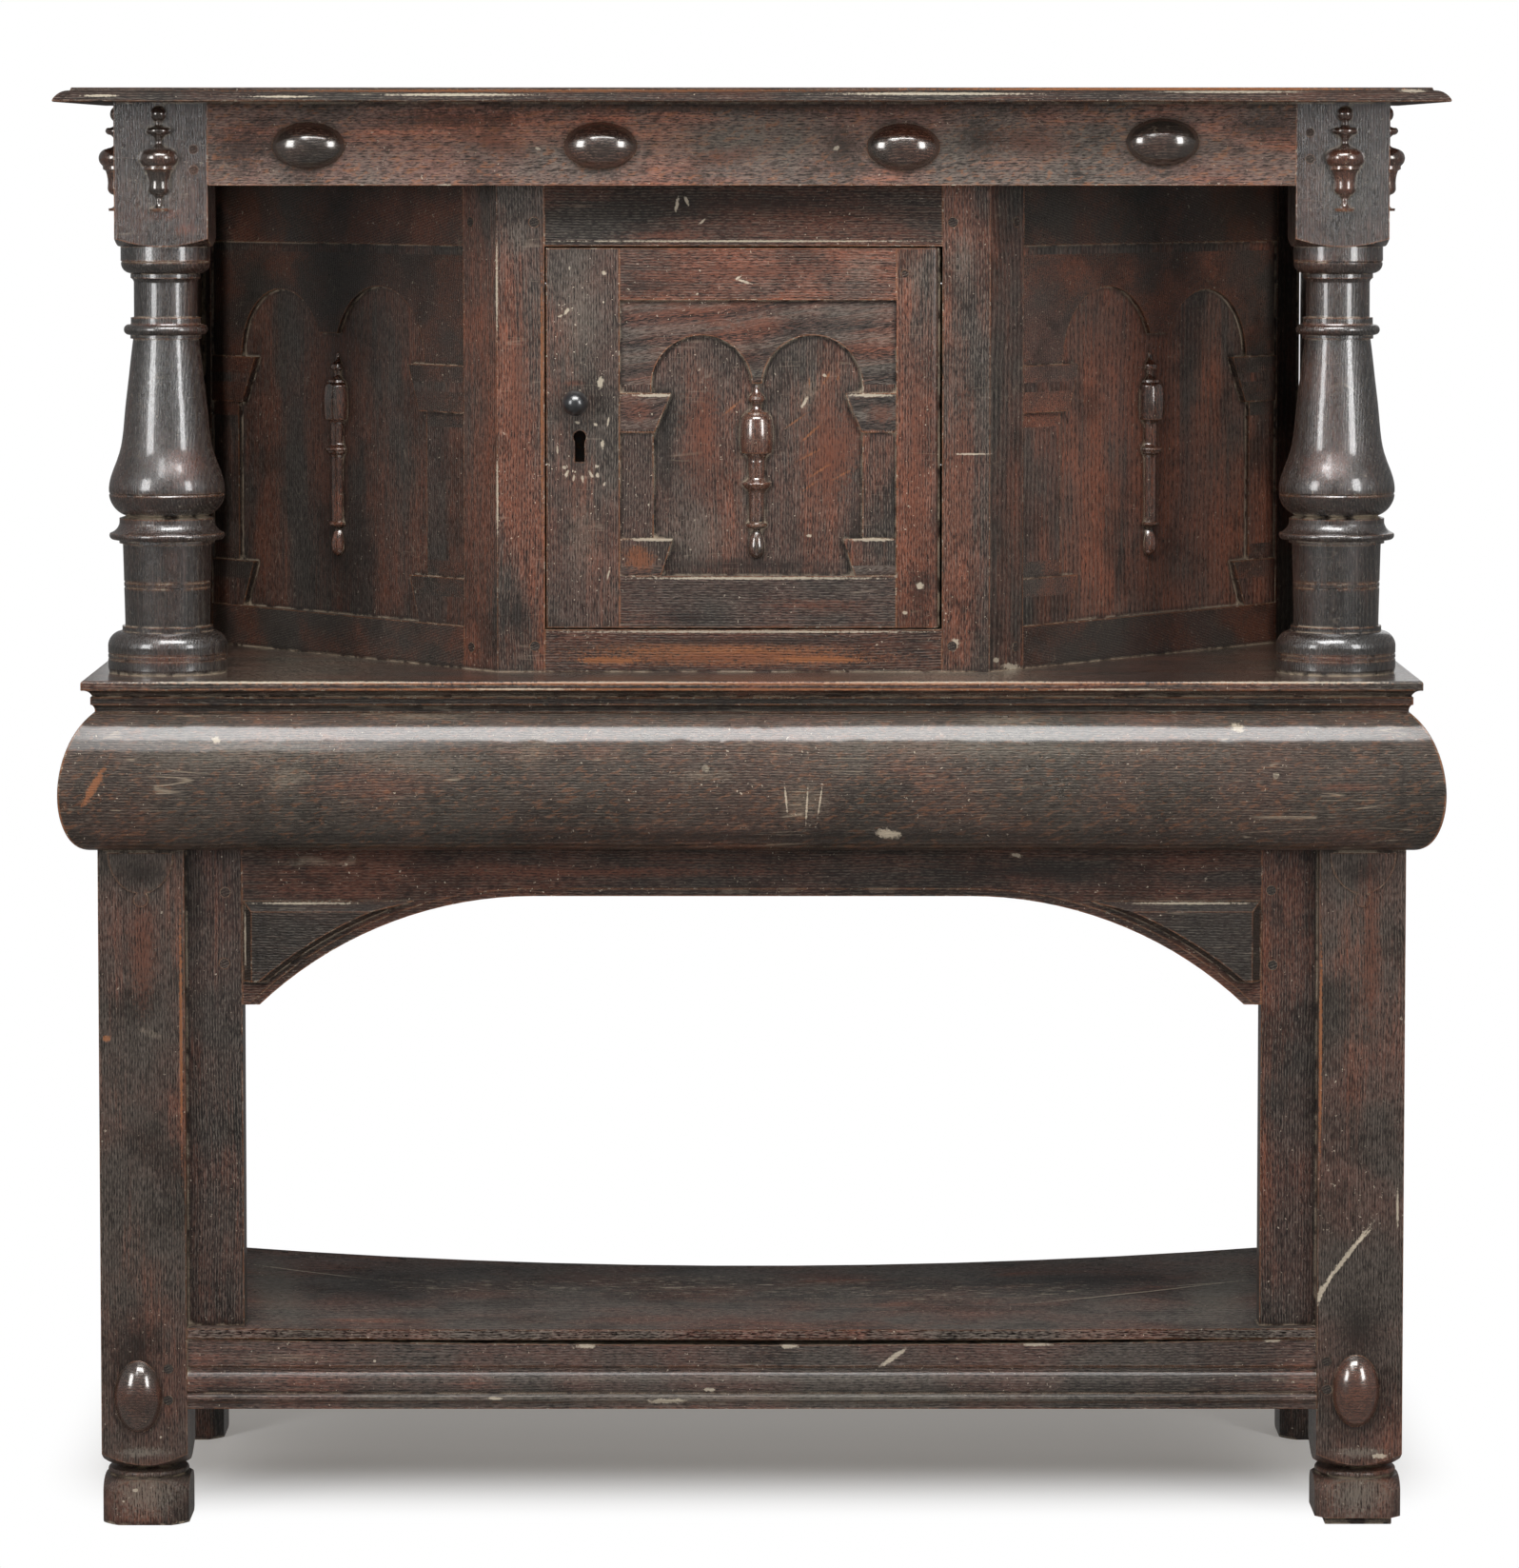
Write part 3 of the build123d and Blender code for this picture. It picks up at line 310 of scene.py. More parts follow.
DOOR_PANEL_MARKS = (
    ("glow", (-43.5, 908.7, 26, 66), (62.8, 896.6, 30, 74), (-38.6, 920.8, 14, 40, 6),
     (76.5, 896.6, 22, 56, 20)),
    ("amber", (49.9, 911.1, 1.6, 15, 48), (48.3, 892.6, 1.5, 17, 62), (56.4, 878.9, 1.5, 14, 58),
     (76.5, 876.5, 1.4, 16, 60), (48.3, 866, 1.3, 11, 56), (62.8, 957, 1.6, 9, 30), (48.3, 953, 1.3, 7),
     (-16.1, 932.8, 1.4, 12, 50), (36.2, 920.8, 1.2, 14, 55), (72.5, 957, 1.2, 5, 10)),
    ("grime_and_shade", (0, 800, 110, 8), (-72.5, 896.6, 9, 80), (87, 824.1, 12, 40)),
    ("bloom", (-44.3, 824.1, 36, 36), (0, 872.5, 18, 80)),
    ("chip", (61.1, 959.7, 2.4, 1.6, 40), (48.2, 824.7, 2.4, 1.6), (44.3, 936.9, 1.6, 6, 30)),
    ("dusting", (48.3, 944.9, 10, 18, 30)),
)
ARCADE_MARKS = (
    # Pale lines on the tops of the imposts and bases: painted highlights, with dust.
    ("chip", (-77.1, 943.1, 32, 1.6), (99.6, 943.1, 22.4, 1.6), (-77.1, 821.7, 33.6, 1.6),
     (99.6, 821.7, 22.4, 1.6), (-80.4, 949.5, 1.6, 7.2, 10), (92.4, 950.3, 1.6, 7.2, -8)),
    ("glow", (-94.8, 929.4, 16, 12.8), (108.5, 927.8, 17.6, 12.8)),
    ("amber", (-94.8, 805.7, 17.6, 12.8, 20)),
    ("glow", (-94.8, 805.7, 17.6, 12.8, 20), (-40.2, 1009.7, 48, 8, 20), (8, 1001.7, 32, 12.8)),
    ("rub", (-78.7, 873.2, 1, 35.2)),
)
SILL_MARKS = (
    ("amber", (-30, 728, 150, 10), (-10, 722, 160, 9)),
    ("glow", (-8, 722.5, 160, 6.4)),
    ("rub", (-120.6, 720.1, 32, 4), (56.3, 720.9, 48, 3.2, 1)),
    # A pale line along the sill's top arris: painted highlight, with wear.
    ("chip", (-5.6, 744.2, 169.6, 1.2)),
    ("grime_and_shade", (0, 736.2, 168, 4.8)),
)
MID_MARKS = (
    # Pale broken lines along the front arrises: wear, and painted highlights.
    ("chip", (-380, 708.8, 150, 1.3), (-110, 708.8, 120, 1.1), (170, 708.8, 150, 1.4),
     (440, 708.8, 110, 1.2)),
    ("rub", (0, 708, 545, 1.6), (-60, 703.4, 500, 1.1)),
    ("chip", (-190, 703.4, 60, 0.9), (300, 703.2, 50, 0.9)),
)
CUSHION_MARKS = (
    # Painted shade under the moulding above.
    ("grime_and_shade", (0, 681, 560, 3.5)),
    # Painted sheen below the highlight, with bloom.
    ("bloom", (-420, 652, 110, 17, -4), (190, 655, 250, 12, 1), (-289.5, 645.3, 96, 16, 6)),
    # Painted shade where the cushion turns under.
    ("grime_and_shade", (0, 582.9, 576, 7.2)),
    ("chip", (-442.9, 662, 4, 3.2, 20), (-38.3, 639.3, 4, 3.2), (402.2, 671.3, 6.4, 4, 20),
     (432.7, 633, 3.2, 3.2), (112.7, 584.5, 12, 4.8, 8), (45.4, 608, 1, 20.8, 3),
     (56.3, 611.9, 0.8, 14.4, 8), (28.2, 614.2, 1, 12.8, -6)),
    ("dusting", (-273.9, 680.7, 56, 5.6), (-39.1, 633, 40, 6.4), (43, 611.9, 27.2, 20.8),
     (211.3, 676.8, 48, 5.6)),
    ("rub", (-543.8, 623.6, 4, 24, 30)),
    ("glow", (493, 623.6, 40, 4.8)),
    ("grime_and_shade", (-38.3, 639.3, 7.2, 6.4)),
    ("dusting", (-180, 654.9, 16, 24, 40), (-383.4, 631.4, 24, 12.8, -20)),
    ("grime_and_shade", (432.7, 633, 7.2, 7.2)),
)
LEG_LEFT_MARKS = (
    ("pale", (-508, 26, 38, 26), (-508, 62, 30, 6)),
    ("grime_and_shade", (-508, 549, 30, 18)),
    ("glow", (-506.9, 481.9, 16, 64)),
    ("rub", (-475.2, 418.5, 1.6, 120)),
    ("dusting", (-499, 414.6, 17.6, 4, 20)),
    ("grime_and_shade", (-514.8, 149.3, 32, 48)),
    ("rub", (-537, 410.6, 4.8, 3.2)),
    ("chip", (-515.6, 29.7, 3.2, 2), (-525.9, 20.2, 1.2, 1.2), (-494.2, 74.8, 1.2, 1.2)),
)
LEG_RIGHT_MARKS = (
    ("pale", (508, 26, 38, 26), (508, 62, 30, 6)),
    ("grime_and_shade", (508, 549, 30, 18)),
    ("chip", (495.8, 226.9, 2.2, 40, 37), (480.7, 205.5, 1.6, 16, 26), (510, 243.5, 1.2, 13, 44),
     (474.4, 195.2, 2.2, 9.6, 12), (525.1, 59, 7.2, 2.4)),
    ("rub", (473.6, 402.7, 1.6, 112)),
    ("glow", (514.8, 481.9, 11.2, 96)),
    ("chip", (538.6, 268.1, 1.2, 19.2)),
    ("grime_and_shade", (506.9, 165.1, 32, 48)),
)
APRON_MARKS = (
    ("glow", (-134.9, 548, 208, 6.4)),
    # Darker along the top on the right: painted shadow under the cushion.
    ("grime_and_shade", (246, 548, 128, 11.2)),
    ("chip", (220.6, 562.2, 5.6, 2, 10)),
    ("dusting", (-365, 555.9, 48, 4)),
)
SPANDREL_MARKS = (
    # Pale lines on the blocks' top chamfers and on the left block's side: painted highlights.
    ("chip", (-373.1, 522.3, 51.2, 1.1), (365.2, 522.3, 56, 1.1)),
    ("rub", (297.7, 512, 24, 1, 30)),
    ("chip", (-422.3, 492.1, 1, 27.2)),
)
SHELF_RAIL_MARKS = (
    ("bloom", (0, 108, 490, 9), (0, 108, 490, 6)),
    ("chip", (-138.6, 151.6, 11.2, 2.4), (31.7, 151.6, 9.6, 2.4), (237.6, 153.2, 14.4, 2),
     (435.6, 156.4, 9.6, 1.6), (-71.3, 105.7, 19.2, 2.8), (117.2, 141.3, 16, 2.4, -36),
     (-35.6, 115.2, 6.4, 2)),
    ("grime_and_shade", (118.8, 165.1, 336, 2.4)),
    ("bloom", (0, 123.9, 448, 4)),
    ("chip", (-213.8, 108.1, 8, 1.6)),
    ("dusting", (-388.1, 141.3, 48, 4.8)),
    ("chip", (-315.2, 139, 1.6, 1.6)),
)
# The same in plan: x and y in place of x and z.
SHELF_MARKS = (
    ("pale", (-414, 20, 34, 230, 6), (408, 20, 40, 230, -8)),
    ("grime_and_shade", (-320, 40, 90, 170), (290, 80, 120, 100)),
    ("chip", (333, 5, 122, 2.6, 26.8)),
    ("grime_and_shade", (333, -1, 122, 3, 26.8)),
    ("chip", (-391, 111, 66, 2.6, -25.4), (395, 42, 40, 2, 12)),
    ("scuff", (-30, 80, 230, 90), (-250, 60, 130, 60, -8), (190, 30, 170, 70, 6), (-60, 110, 120, 50)),
    ("chip", (-70, 74, 14, 4, 10), (12, 92, 10, 3, -14), (-170, 60, 9, 3)),
)


# ---- Oak ----

# How each way of the grain is turned on to X, so that every pattern is drawn out along X.
GRAIN_TURN = {
    "x": (0.0, 0.0, 0.0),
    "y": (0.0, 0.0, radians(-90)),
    "z": (0.0, radians(90), 0.0),
}
# How far (m) the pattern moves on from one board to the next. Where the grain runs across, it moves and turns
# by measures of its own.
BOARD_STEP = (0.137, 0.071, 0.213)
CROSS_STEP = (0.09, 0.17, 0.0)
CROSS_TURN = (0.0, radians(8), 0.0)
# How far (m) the grain wanders, and the spacing (m) of the growth rings.
GRAIN_BEND = (0.02, 0.009, 0.009)
RING_PITCH = 2.2 * MM
# The wood is never darker than this share of its colour.
DARKEST = 0.12
# The wax colours what it mirrors and what lies under it, and it shines at least this much.
WAX_TINT = (1.0, 0.86, 0.70, 1.0)
COAT_TINT = (1.0, 0.93, 0.84, 1.0)
WAX_SHEEN = 1.6
# A piece with less relief than this is turned, and its coat is this smooth.
TURNED_RELIEF = 0.5
TURNED_SATIN = 0.12


@dataclass
class Look:
    """How the oak of one piece looks."""

    tone: float = 0.5         # 0 grey to 1 red
    # The colour's multiplier: partly the wood's own lightness, partly painted light and shade set to how the
    # lamps reach each piece.
    light: float = 1.0        # multiplies the colour
    contrast: float = 0.8     # of the grain
    figure: float = 0.0       # strength of the wavy ray figure
    grime: float = 0.5        # strength of the dark clouds
    gloss: float = 0.36       # roughness of the wood
    sheen: float = 1.46       # index of refraction: how strongly it mirrors
    wax: float = 0.35         # weight of the wax coat
    satin: float = 0.18       # roughness of the wax coat, on all but turned pieces
    amber: float = 0.35       # how warm its reflections are
    relief: float = 1.0       # height of the grain
    wear: float = 1.0         # strength of the rubbed arrises
    dust: float = 1.0         # strength of the dust in the quirks
    specks: float = 1.0       # strength of the pale specks
    scratches: float = 0.25   # strength of the hairline scratches
    cross: tuple = ()         # heights (mm) between which the grain runs across
    marks: tuple = ()         # marks that sit in one place
    flat: bool = False        # whether those lie in plan


class Grain:
    """The patterns of one board, all drawn out along its grain, 0 to 1."""

    def __init__(self, shader, way, seed, cross):
        self.shader = shader
        self.place = shader.place()
        self.local = self.bent(self.turned(way, seed, cross))
        self.cloud = shader.noise(self.local, 9.0, 3.0, 0.6)
        self.patchy = shader.noise(self.local, 60.0, 3.0, 0.7)
        self.zone = self.drawn(260, 45, 2.0, 0.5, 0.4)
        self.streak = self.drawn(70, 2.4, 3.0, 0.7)
        self.dash = self.drawn(5, 0.75, 2.0, 0.65)
        self.ridge = self.rings() * 0.22 + self.dash
        self.dark = (1.0 - self.ridge).between(0.44, 0.60)

    def turned(self, way, seed, cross):
        """The point, turned so that the grain runs along X."""
        s = self.shader
        along = s.node("ShaderNodeMapping", {}, self.place, [seed * step for step in BOARD_STEP],
                       GRAIN_TURN[way])
        if not cross:
            return along
        across = s.node("ShaderNodeMapping", {}, self.place, [seed * step for step in CROSS_STEP], CROSS_TURN)
        height = s.node("ShaderNodeSeparateXYZ", {}, self.place, out="Z")
        band = 0.0
        for low, high in cross:
            above = s.maths("GREATER_THAN", height, low * MM)
            band = above * s.maths("LESS_THAN", height, high * MM) + band
        return s.node("ShaderNodeMix", {"data_type": "VECTOR"}, out=1,
                      Factor_Float=band, A_Vector=along, B_Vector=across)

    def bent(self, point):
        """The point, moved about so that the grain wanders."""
        bend = self.shader.node("ShaderNodeTexNoise", {}, Vector=point, Scale=5.0, Detail=1.0, out="Color")
        return self.shader.vector("MULTIPLY_ADD", bend, GRAIN_BEND, point)

    def drawn(self, long, wide, detail=2.0, roughness=0.5, warp=0.0):
        """Noise drawn out along the grain, its features this long and wide in millimetres."""
        s = self.shader
        stretched = s.vector("MULTIPLY", self.local, (1 / (long * MM), 1 / (wide * MM), 1 / (wide * MM)))
        return s.noise(stretched, 1.0, detail, roughness, warp)

    def rings(self):
        """Growth rings about a pith that runs along the board."""
        pith = self.shader.vector("MULTIPLY", self.local, (0.05, 1.0, 1.0))
        return self.shader.node(
            "ShaderNodeTexWave", {"wave_type": "RINGS", "rings_direction": "X"}, out="Fac",
            Vector=pith, Scale=2 * pi / (20 * RING_PITCH), Distortion=6.0, Detail=2.0,
            Detail_Scale=0.12, Detail_Roughness=0.55)


class Paint:
    """The colour of one board, laid on in layers, and how freshly broken it is."""

    def __init__(self, shader, base):
        self.shader = shader
        self.colour = base
        self.fresh = 0.0

    def lay(self, weight, hue):
        """One of the oak's colours over what is there."""
        self.colour = self.shader.mix(weight, self.colour, oak_hue(hue))


def oak_hue(name):
    """One of the oak's colours, as set in the panel."""
    return tuple(getattr(bpy.context.scene.cupboard_oak, name))


def bare_wood(grain, look):
    """The wood's colour: grey, brown and red zones, rings, pores, grime, ray figure and painted glints."""
    s = grain.shader
    reddish = (grain.zone - 0.5) * 2.6 + (grain.cloud - 0.5) * 1.2 + (grain.streak - 0.5) * 1.3
    reddish = (reddish + (grain.dash - 0.5) * 0.4 + look.tone).between(0.1, 1.15)
    paint = Paint(s, s.mix(grain.cloud.between(0.35, 0.65), oak_hue("grey"), oak_hue("brown")))
    paint.lay(reddish, "red")
    depth = 0.95 + (grain.streak - 0.5) * (1.4 * look.contrast) + (grain.dash - 0.5) * (3.6 * look.contrast)
    # Painted light and shade, piece by piece, through the multiplier.
    depth = depth * look.light
    if look.grime:
        smoky = (1.0 - s.noise(grain.local, 14.0, 4.0, 0.65)).between(0.48, 0.62)
        depth = depth * (1.0 - smoky * look.grime)
    depth = depth.most(DARKEST)
    shade = s.node("ShaderNodeCombineColor", {}, depth, depth, depth)
    paint.colour = s.mix(1.0, paint.colour, shade, "MULTIPLY")
    # Painted glints: pale highlights laid on the ridges of the grain, with bleached wax.
    paint.lay(grain.ridge.between(0.64, 0.78) * (0.5 * look.contrast), "bloom")
    if look.figure:
        tilted = s.node("ShaderNodeMapping", {}, grain.local, (0.0, 0.0, 0.0),
                        (0.0, radians(14), radians(14)))
        wavy = s.noise(s.vector("MULTIPLY", tilted, (90.0, 330.0, 330.0)), 1.0, 2.0, 0.55, 0.7)
        paint.lay(wavy.between(0.54, 0.66) * look.figure, "rubbed")
        paint.lay((1.0 - wavy).between(0.54, 0.66) * look.figure, "pore")
    paint.lay(grain.dark * (0.4 + 0.6 * look.contrast), "pore")
    return paint


def wear_edges(paint, grain, look):
    """Rubbed arrises, small chips, painted shade and grime in corners, dust in quirks. Gives the dust back.
    """
    s = grain.shader
    edges = bpy.context.scene.cupboard_wear
    normal = s.node("ShaderNodeNewGeometry", out="Normal")
    rounded = s.node("ShaderNodeBevel", {"samples": 4}, edges.rub)
    turn = 1.0 - s.vector("DOT_PRODUCT", normal, rounded, out="Value")
    rubbed = turn.between(0.01, 0.16) * grain.patchy.between(0.32, 0.52) * look.wear
    paint.lay(rubbed * 0.8, "rubbed")
    paint.lay(rubbed * s.noise(grain.place, 260.0, 2.0, 0.6).between(0.60, 0.66), "chip")
    closed = 1.0 - s.node("ShaderNodeAmbientOcclusion", {"samples": 4}, Distance=edges.quirk, out="AO")
    # Painted shade, with grime: the darkest colour laid deepest in the corners, from the occlusion.
    paint.lay(closed.between(0.08, 0.34) * 0.75, "pore")
    dusty = closed.between(0.26, 0.40) * grain.patchy.between(0.40, 0.56) * look.dust
    paint.lay(dusty * 0.8, "dust")
    paint.fresh = dusty * 0.2
    return dusty


def scatter_wear(paint, grain, look, seed):
    """Pale specks in clouds, and hairline scratches that run aslant."""
    s = grain.shader
    if look.specks:
        spots = s.noise(grain.local, 330.0, 2.0, 0.6).between(0.69, 0.73)
        spots = spots * grain.cloud.between(0.40, 0.56) * look.specks
        paint.lay(spots * 0.7, "chip")
        paint.fresh = paint.fresh.most(spots * 0.6)
    if look.scratches:
        aslant = s.node("ShaderNodeMapping", {}, grain.place, (seed * 0.1, 0.0, seed * 0.2),
                        (0.3, 0.7 + seed, 0.2), (4.0, 75.0, 75.0))
        thread = s.noise(aslant, 1.0, 1.0, 0.5)
        hair = 1.0 - s.maths("ABSOLUTE", thread - 0.5).between(0.0, 0.014)
        scratch = hair * s.noise(grain.place, 34.0, 2.0, 0.6).between(0.54, 0.62) * look.scratches
        paint.lay(scratch * 0.6, "dust")
        paint.fresh = paint.fresh.most(scratch * 0.5)


def mark_mask(grain, ragged, flat, soft, spot):
    """Where one mark lies, 0 to 1, its edge broken by a noise."""
    s = grain.shader
    x, y, half_width, half_height, tilt = (*spot, 0)[:5]
    lean = radians(tilt)
    if flat:
        middle, turn, size = (x, y, 0.0), (0.0, 0.0, lean), (half_width, half_height, 1 / MM)
        seen = (1.0, 1.0, 0.0)
    else:
        middle, turn, size = (x, 0.0, y), (0.0, lean, 0.0), (half_width, 1 / MM, half_height)
        seen = (1.0, 0.0, 1.0)
    turned = s.node("ShaderNodeMapping", {"vector_type": "TEXTURE"}, grain.place,
                    [at * MM for at in middle], turn, [span * MM for span in size])
    far = s.vector("LENGTH", s.vector("MULTIPLY", turned, seen), out="Value")
    return 1.0 - (far + (ragged - 0.5) * 1.8).between(1.0 - soft, 1.0)


def lay_marks(paint, grain, look):
    """The marks that sit in one place: solid where the wood is broken, and through the grain elsewhere."""
    ragged = grain.shader.noise(grain.place, 380.0, 3.0, 0.7)
    for kind, *spots in look.marks:
        hue, strength, soft = MARK_KINDS[kind]
        for spot in spots:
            mask = mark_mask(grain, ragged, look.flat, soft, spot)
            if kind == "scuff":
                mask = mask.between(0.0, 0.4) * grain.drawn(16, 6.0, 4.0, 0.75).between(0.55, 0.63)
            if kind in ("chip", "rub", "scuff"):
                paint.lay(mask * strength, hue)
                paint.fresh = paint.fresh.most(mask)
            else:
                through = 0.3 + grain.streak * 0.8 + (grain.dash - 0.5) * 1.2 - grain.dark * 0.5
                paint.lay(mask * through.most(0.0) * (2 * strength), hue)


def blend(tint, weight):
    """White drawn towards a tint."""
    return tuple(1.0 - (1.0 - part) * weight for part in tint)


def oak(name, way, seed, look):
    """Old waxed oak, its grain running one way, each seed from a different board."""
    s = Shader(bpy.data.materials.new(name))
    grain = Grain(s, way, seed, look.cross)
    paint = bare_wood(grain, look)
    dusty = wear_edges(paint, grain, look)
    scatter_wear(paint, grain, look, seed)
    if look.marks:
        lay_marks(paint, grain, look)
    rise = grain.ridge * 0.6 - grain.dark * 0.15 + grain.streak * 0.3 + s.noise(grain.local, 24.0, 2.0) * 0.7
    rise = (rise + grain.patchy * 0.12 - paint.fresh * 0.12) * look.relief
    bump = s.node("ShaderNodeBump", {}, Strength=1.0, Distance=MM, Height=rise)
    rough = look.gloss + (grain.streak - 0.5) * 0.3 + dusty * 0.25 + grain.dark * 0.05
    rough = rough + paint.fresh * 0.3 + (grain.cloud - 0.5) * 0.25
    satin = TURNED_SATIN if look.relief < TURNED_RELIEF else look.satin
    surface = s.node("ShaderNodeBsdfPrincipled", {}, Base_Color=paint.colour, Roughness=rough,
                     IOR=look.sheen, Coat_Weight=look.wax, Coat_Roughness=satin,
                     Coat_IOR=max(look.sheen, WAX_SHEEN), Coat_Tint=blend(COAT_TINT, look.amber),
                     Specular_Tint=blend(WAX_TINT, look.amber), Normal=bump)
    s.node("ShaderNodeOutputMaterial", {}, surface)
    return s.owner


# ---- Other materials ----


def dark_metal(name, tint, roughness):
    """Wrought iron, rubbed dark."""
    s = Shader(bpy.data.materials.new(name))
    mottle = s.noise(s.place(), 240.0, 3.0, 0.6)
    base = s.mix(mottle.between(0.4, 0.7), tint, (0.11, 0.06, 0.035, 1.0))
    bump = s.node("ShaderNodeBump", {}, Strength=0.6, Distance=0.3 * MM, Height=mottle)
    surface = s.node("ShaderNodeBsdfPrincipled", {}, Base_Color=base, Metallic=0.85,
                     Roughness=roughness + mottle * 0.2, Normal=bump)
    s.node("ShaderNodeOutputMaterial", {}, surface)
    return s.owner


def ebony_polish(name):
    """Blackened, polished wood of the knob."""
    s = Shader(bpy.data.materials.new(name))
    place = s.place()
    smear = s.noise(place, 160.0, 3.0, 0.6)
    base = s.mix(smear.between(0.4, 0.7), (0.012, 0.013, 0.015, 1.0), (0.026, 0.027, 0.030, 1.0))
    bump = s.node("ShaderNodeBump", {}, Strength=0.3, Distance=0.2 * MM, Height=smear)
    surface = s.node("ShaderNodeBsdfPrincipled", {}, Base_Color=base, Roughness=0.22 + smear * 0.16,
                     IOR=2.0, Coat_Weight=0.5, Coat_Roughness=0.08, Normal=bump)
    s.node("ShaderNodeOutputMaterial", {}, surface)
    return s.owner


# ---- Pieces ----

# Points this close (m) are one.
NEAR = 0.01 * MM
# Half the gap (m) that shrinkage has opened between the back boards, and how far (m) their outer face lies
# inside the posts'.
BACK_GAP = 0.6 * MM
BACK_INSET = 1.2 * MM
# Heights (mm) of the back boards' edges, and between which each one's rows of nails run.
BACK_EDGES = (710.0, 868.0, 1030.0, 1188.0)
BACK_ROWS = ((726, 852), (884, 1014), (1046, 1130))
# The rows of nails, each between two points (mm).
BACK_NAILS = [((x, 240, low), (x, 240, high)) for x in (-456, 442) for low, high in BACK_ROWS]
BACK_NAILS.append(((-400, 240, 1160), (390, 240, 1160)))
SHELF_NAILS = [((x, -95, 180), (x, 135, 180)) for x in (-527, 527)]
SHELF_NAILS.append(((-420, 215, 180), (420, 215, 180)))
# How far (m) the nails' rows may lie off their board.
REACH = 0.03
# Heights (mm) of the arcades' cross-grained parts: the bases, the imposts and the arches.
IMPOSTS = ((770.0, 800.0), (914.0, 944.0), (952.0, 1060.0))
# Looks that several pieces share: small turned work, the dry back, and the front legs.
POLISHED = dict(gloss=0.2, wax=1.0, sheen=1.85)
DRY_BACK = dict(tone=0.1, grime=0.2, gloss=0.62, wax=0.0)
FRONT_LEG = dict(contrast=0.62, amber=0.45, scratches=0.0, wear=0.6)


def merged_copy(node):
    """The node's mesh with its triangles joined and its flat faces made whole."""
    mesh = NODES[node].data.copy()
    shape = bmesh.new()
    shape.from_mesh(mesh)
    bmesh.ops.remove_doubles(shape, verts=shape.verts, dist=NEAR)
    bmesh.ops.dissolve_limit(shape, angle_limit=radians(0.2), verts=shape.verts, edges=shape.edges)
    for face in shape.faces:
        face.smooth = True
    for edge in shape.edges:
        edge.smooth = not edge.is_manifold or edge.calc_face_angle(0.0) < radians(32)
    shape.to_mesh(mesh)
    shape.free()
    mesh.materials.clear()
    return mesh


def eased(node, width):
    """A copy of a board with its arrises eased, standing for the node."""
    shape = merged_copy(node)
    piece = bpy.data.objects.new(f"eased_{node}", shape)
    bpy.context.scene.collection.objects.link(piece)
    bevel = piece.modifiers.new("arris", "BEVEL")
    bevel.limit_method = "ANGLE"
    bevel.angle_limit = radians(40)
    bevel.width = width
    bevel.segments = 2
    bevel.use_clamp_overlap = True
    weighted = piece.modifiers.new("flats", "WEIGHTED_NORMAL")
    weighted.keep_sharp = False
    view = bpy.context.evaluated_depsgraph_get()
    mesh = bpy.data.meshes.new_from_object(piece.evaluated_get(view), depsgraph=view)
    piece.modifiers.clear()
    piece.data = mesh
    return piece


def finish_node(node, material, arris=None):
    """Gives a node its material: on an eased copy where an arris is stated, else on itself."""
    if arris is None:
        NODES[node].data.materials.clear()
        NODES[node].data.materials.append(material)
        return NODES[node]
    piece = eased(node, arris)
    piece.data.materials.append(material)
    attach(piece, BODY_OF[node])
    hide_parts(node)
    return piece


class NodeTree:
    """A Geometry Nodes tree under construction, with named inputs."""

    def __init__(self, name, **inputs):
        self.tree = bpy.data.node_groups.new(name, "GeometryNodeTree")
        self.tree.is_modifier = True
        self.sockets = {}
        for label, kind in {"Geometry": "Geometry", **inputs}.items():
            self.sockets[label] = self.tree.interface.new_socket(
                label.replace("_", " "), in_out="INPUT", socket_type=f"NodeSocket{kind}")
        self.tree.interface.new_socket("Geometry", in_out="OUTPUT", socket_type="NodeSocketGeometry")
        start = self.tree.nodes.new("NodeGroupInput")
        self.given = {label: start.outputs[place] for place, label in enumerate(self.sockets)}

    def node(self, kind, settings=None, out=0, **named):
        """Adds a node, joins or sets its sockets by name, and returns one output."""
        made = self.tree.nodes.new(kind)
        for key, setting in (settings or {}).items():
            setattr(made, key, setting)
        for key, value in named.items():
            label = key.replace("_", " ")
            socket = next(found for found in made.inputs if found.name == label and found.enabled)
            if isinstance(value, bpy.types.NodeSocket):
                self.tree.links.new(value, socket)
            else:
                socket.default_value = value
        return made.outputs[out]

    def finish(self, geometry):
        """Joins the result to the output."""
        self.tree.links.new(geometry, self.tree.nodes.new("NodeGroupOutput").inputs[0])

    def apply(self, carrier, **values):
        """The carrier's mesh, replaced by what the tree makes of it."""
        modifier = carrier.modifiers.new(self.tree.name, "NODES")
        modifier.node_group = self.tree
        for label, value in values.items():
            modifier[self.sockets[label].identifier] = value
        view = bpy.context.evaluated_depsgraph_get()
        mesh = bpy.data.meshes.new_from_object(carrier.evaluated_get(view), depsgraph=view)
        carrier.modifiers.clear()
        carrier.data = mesh


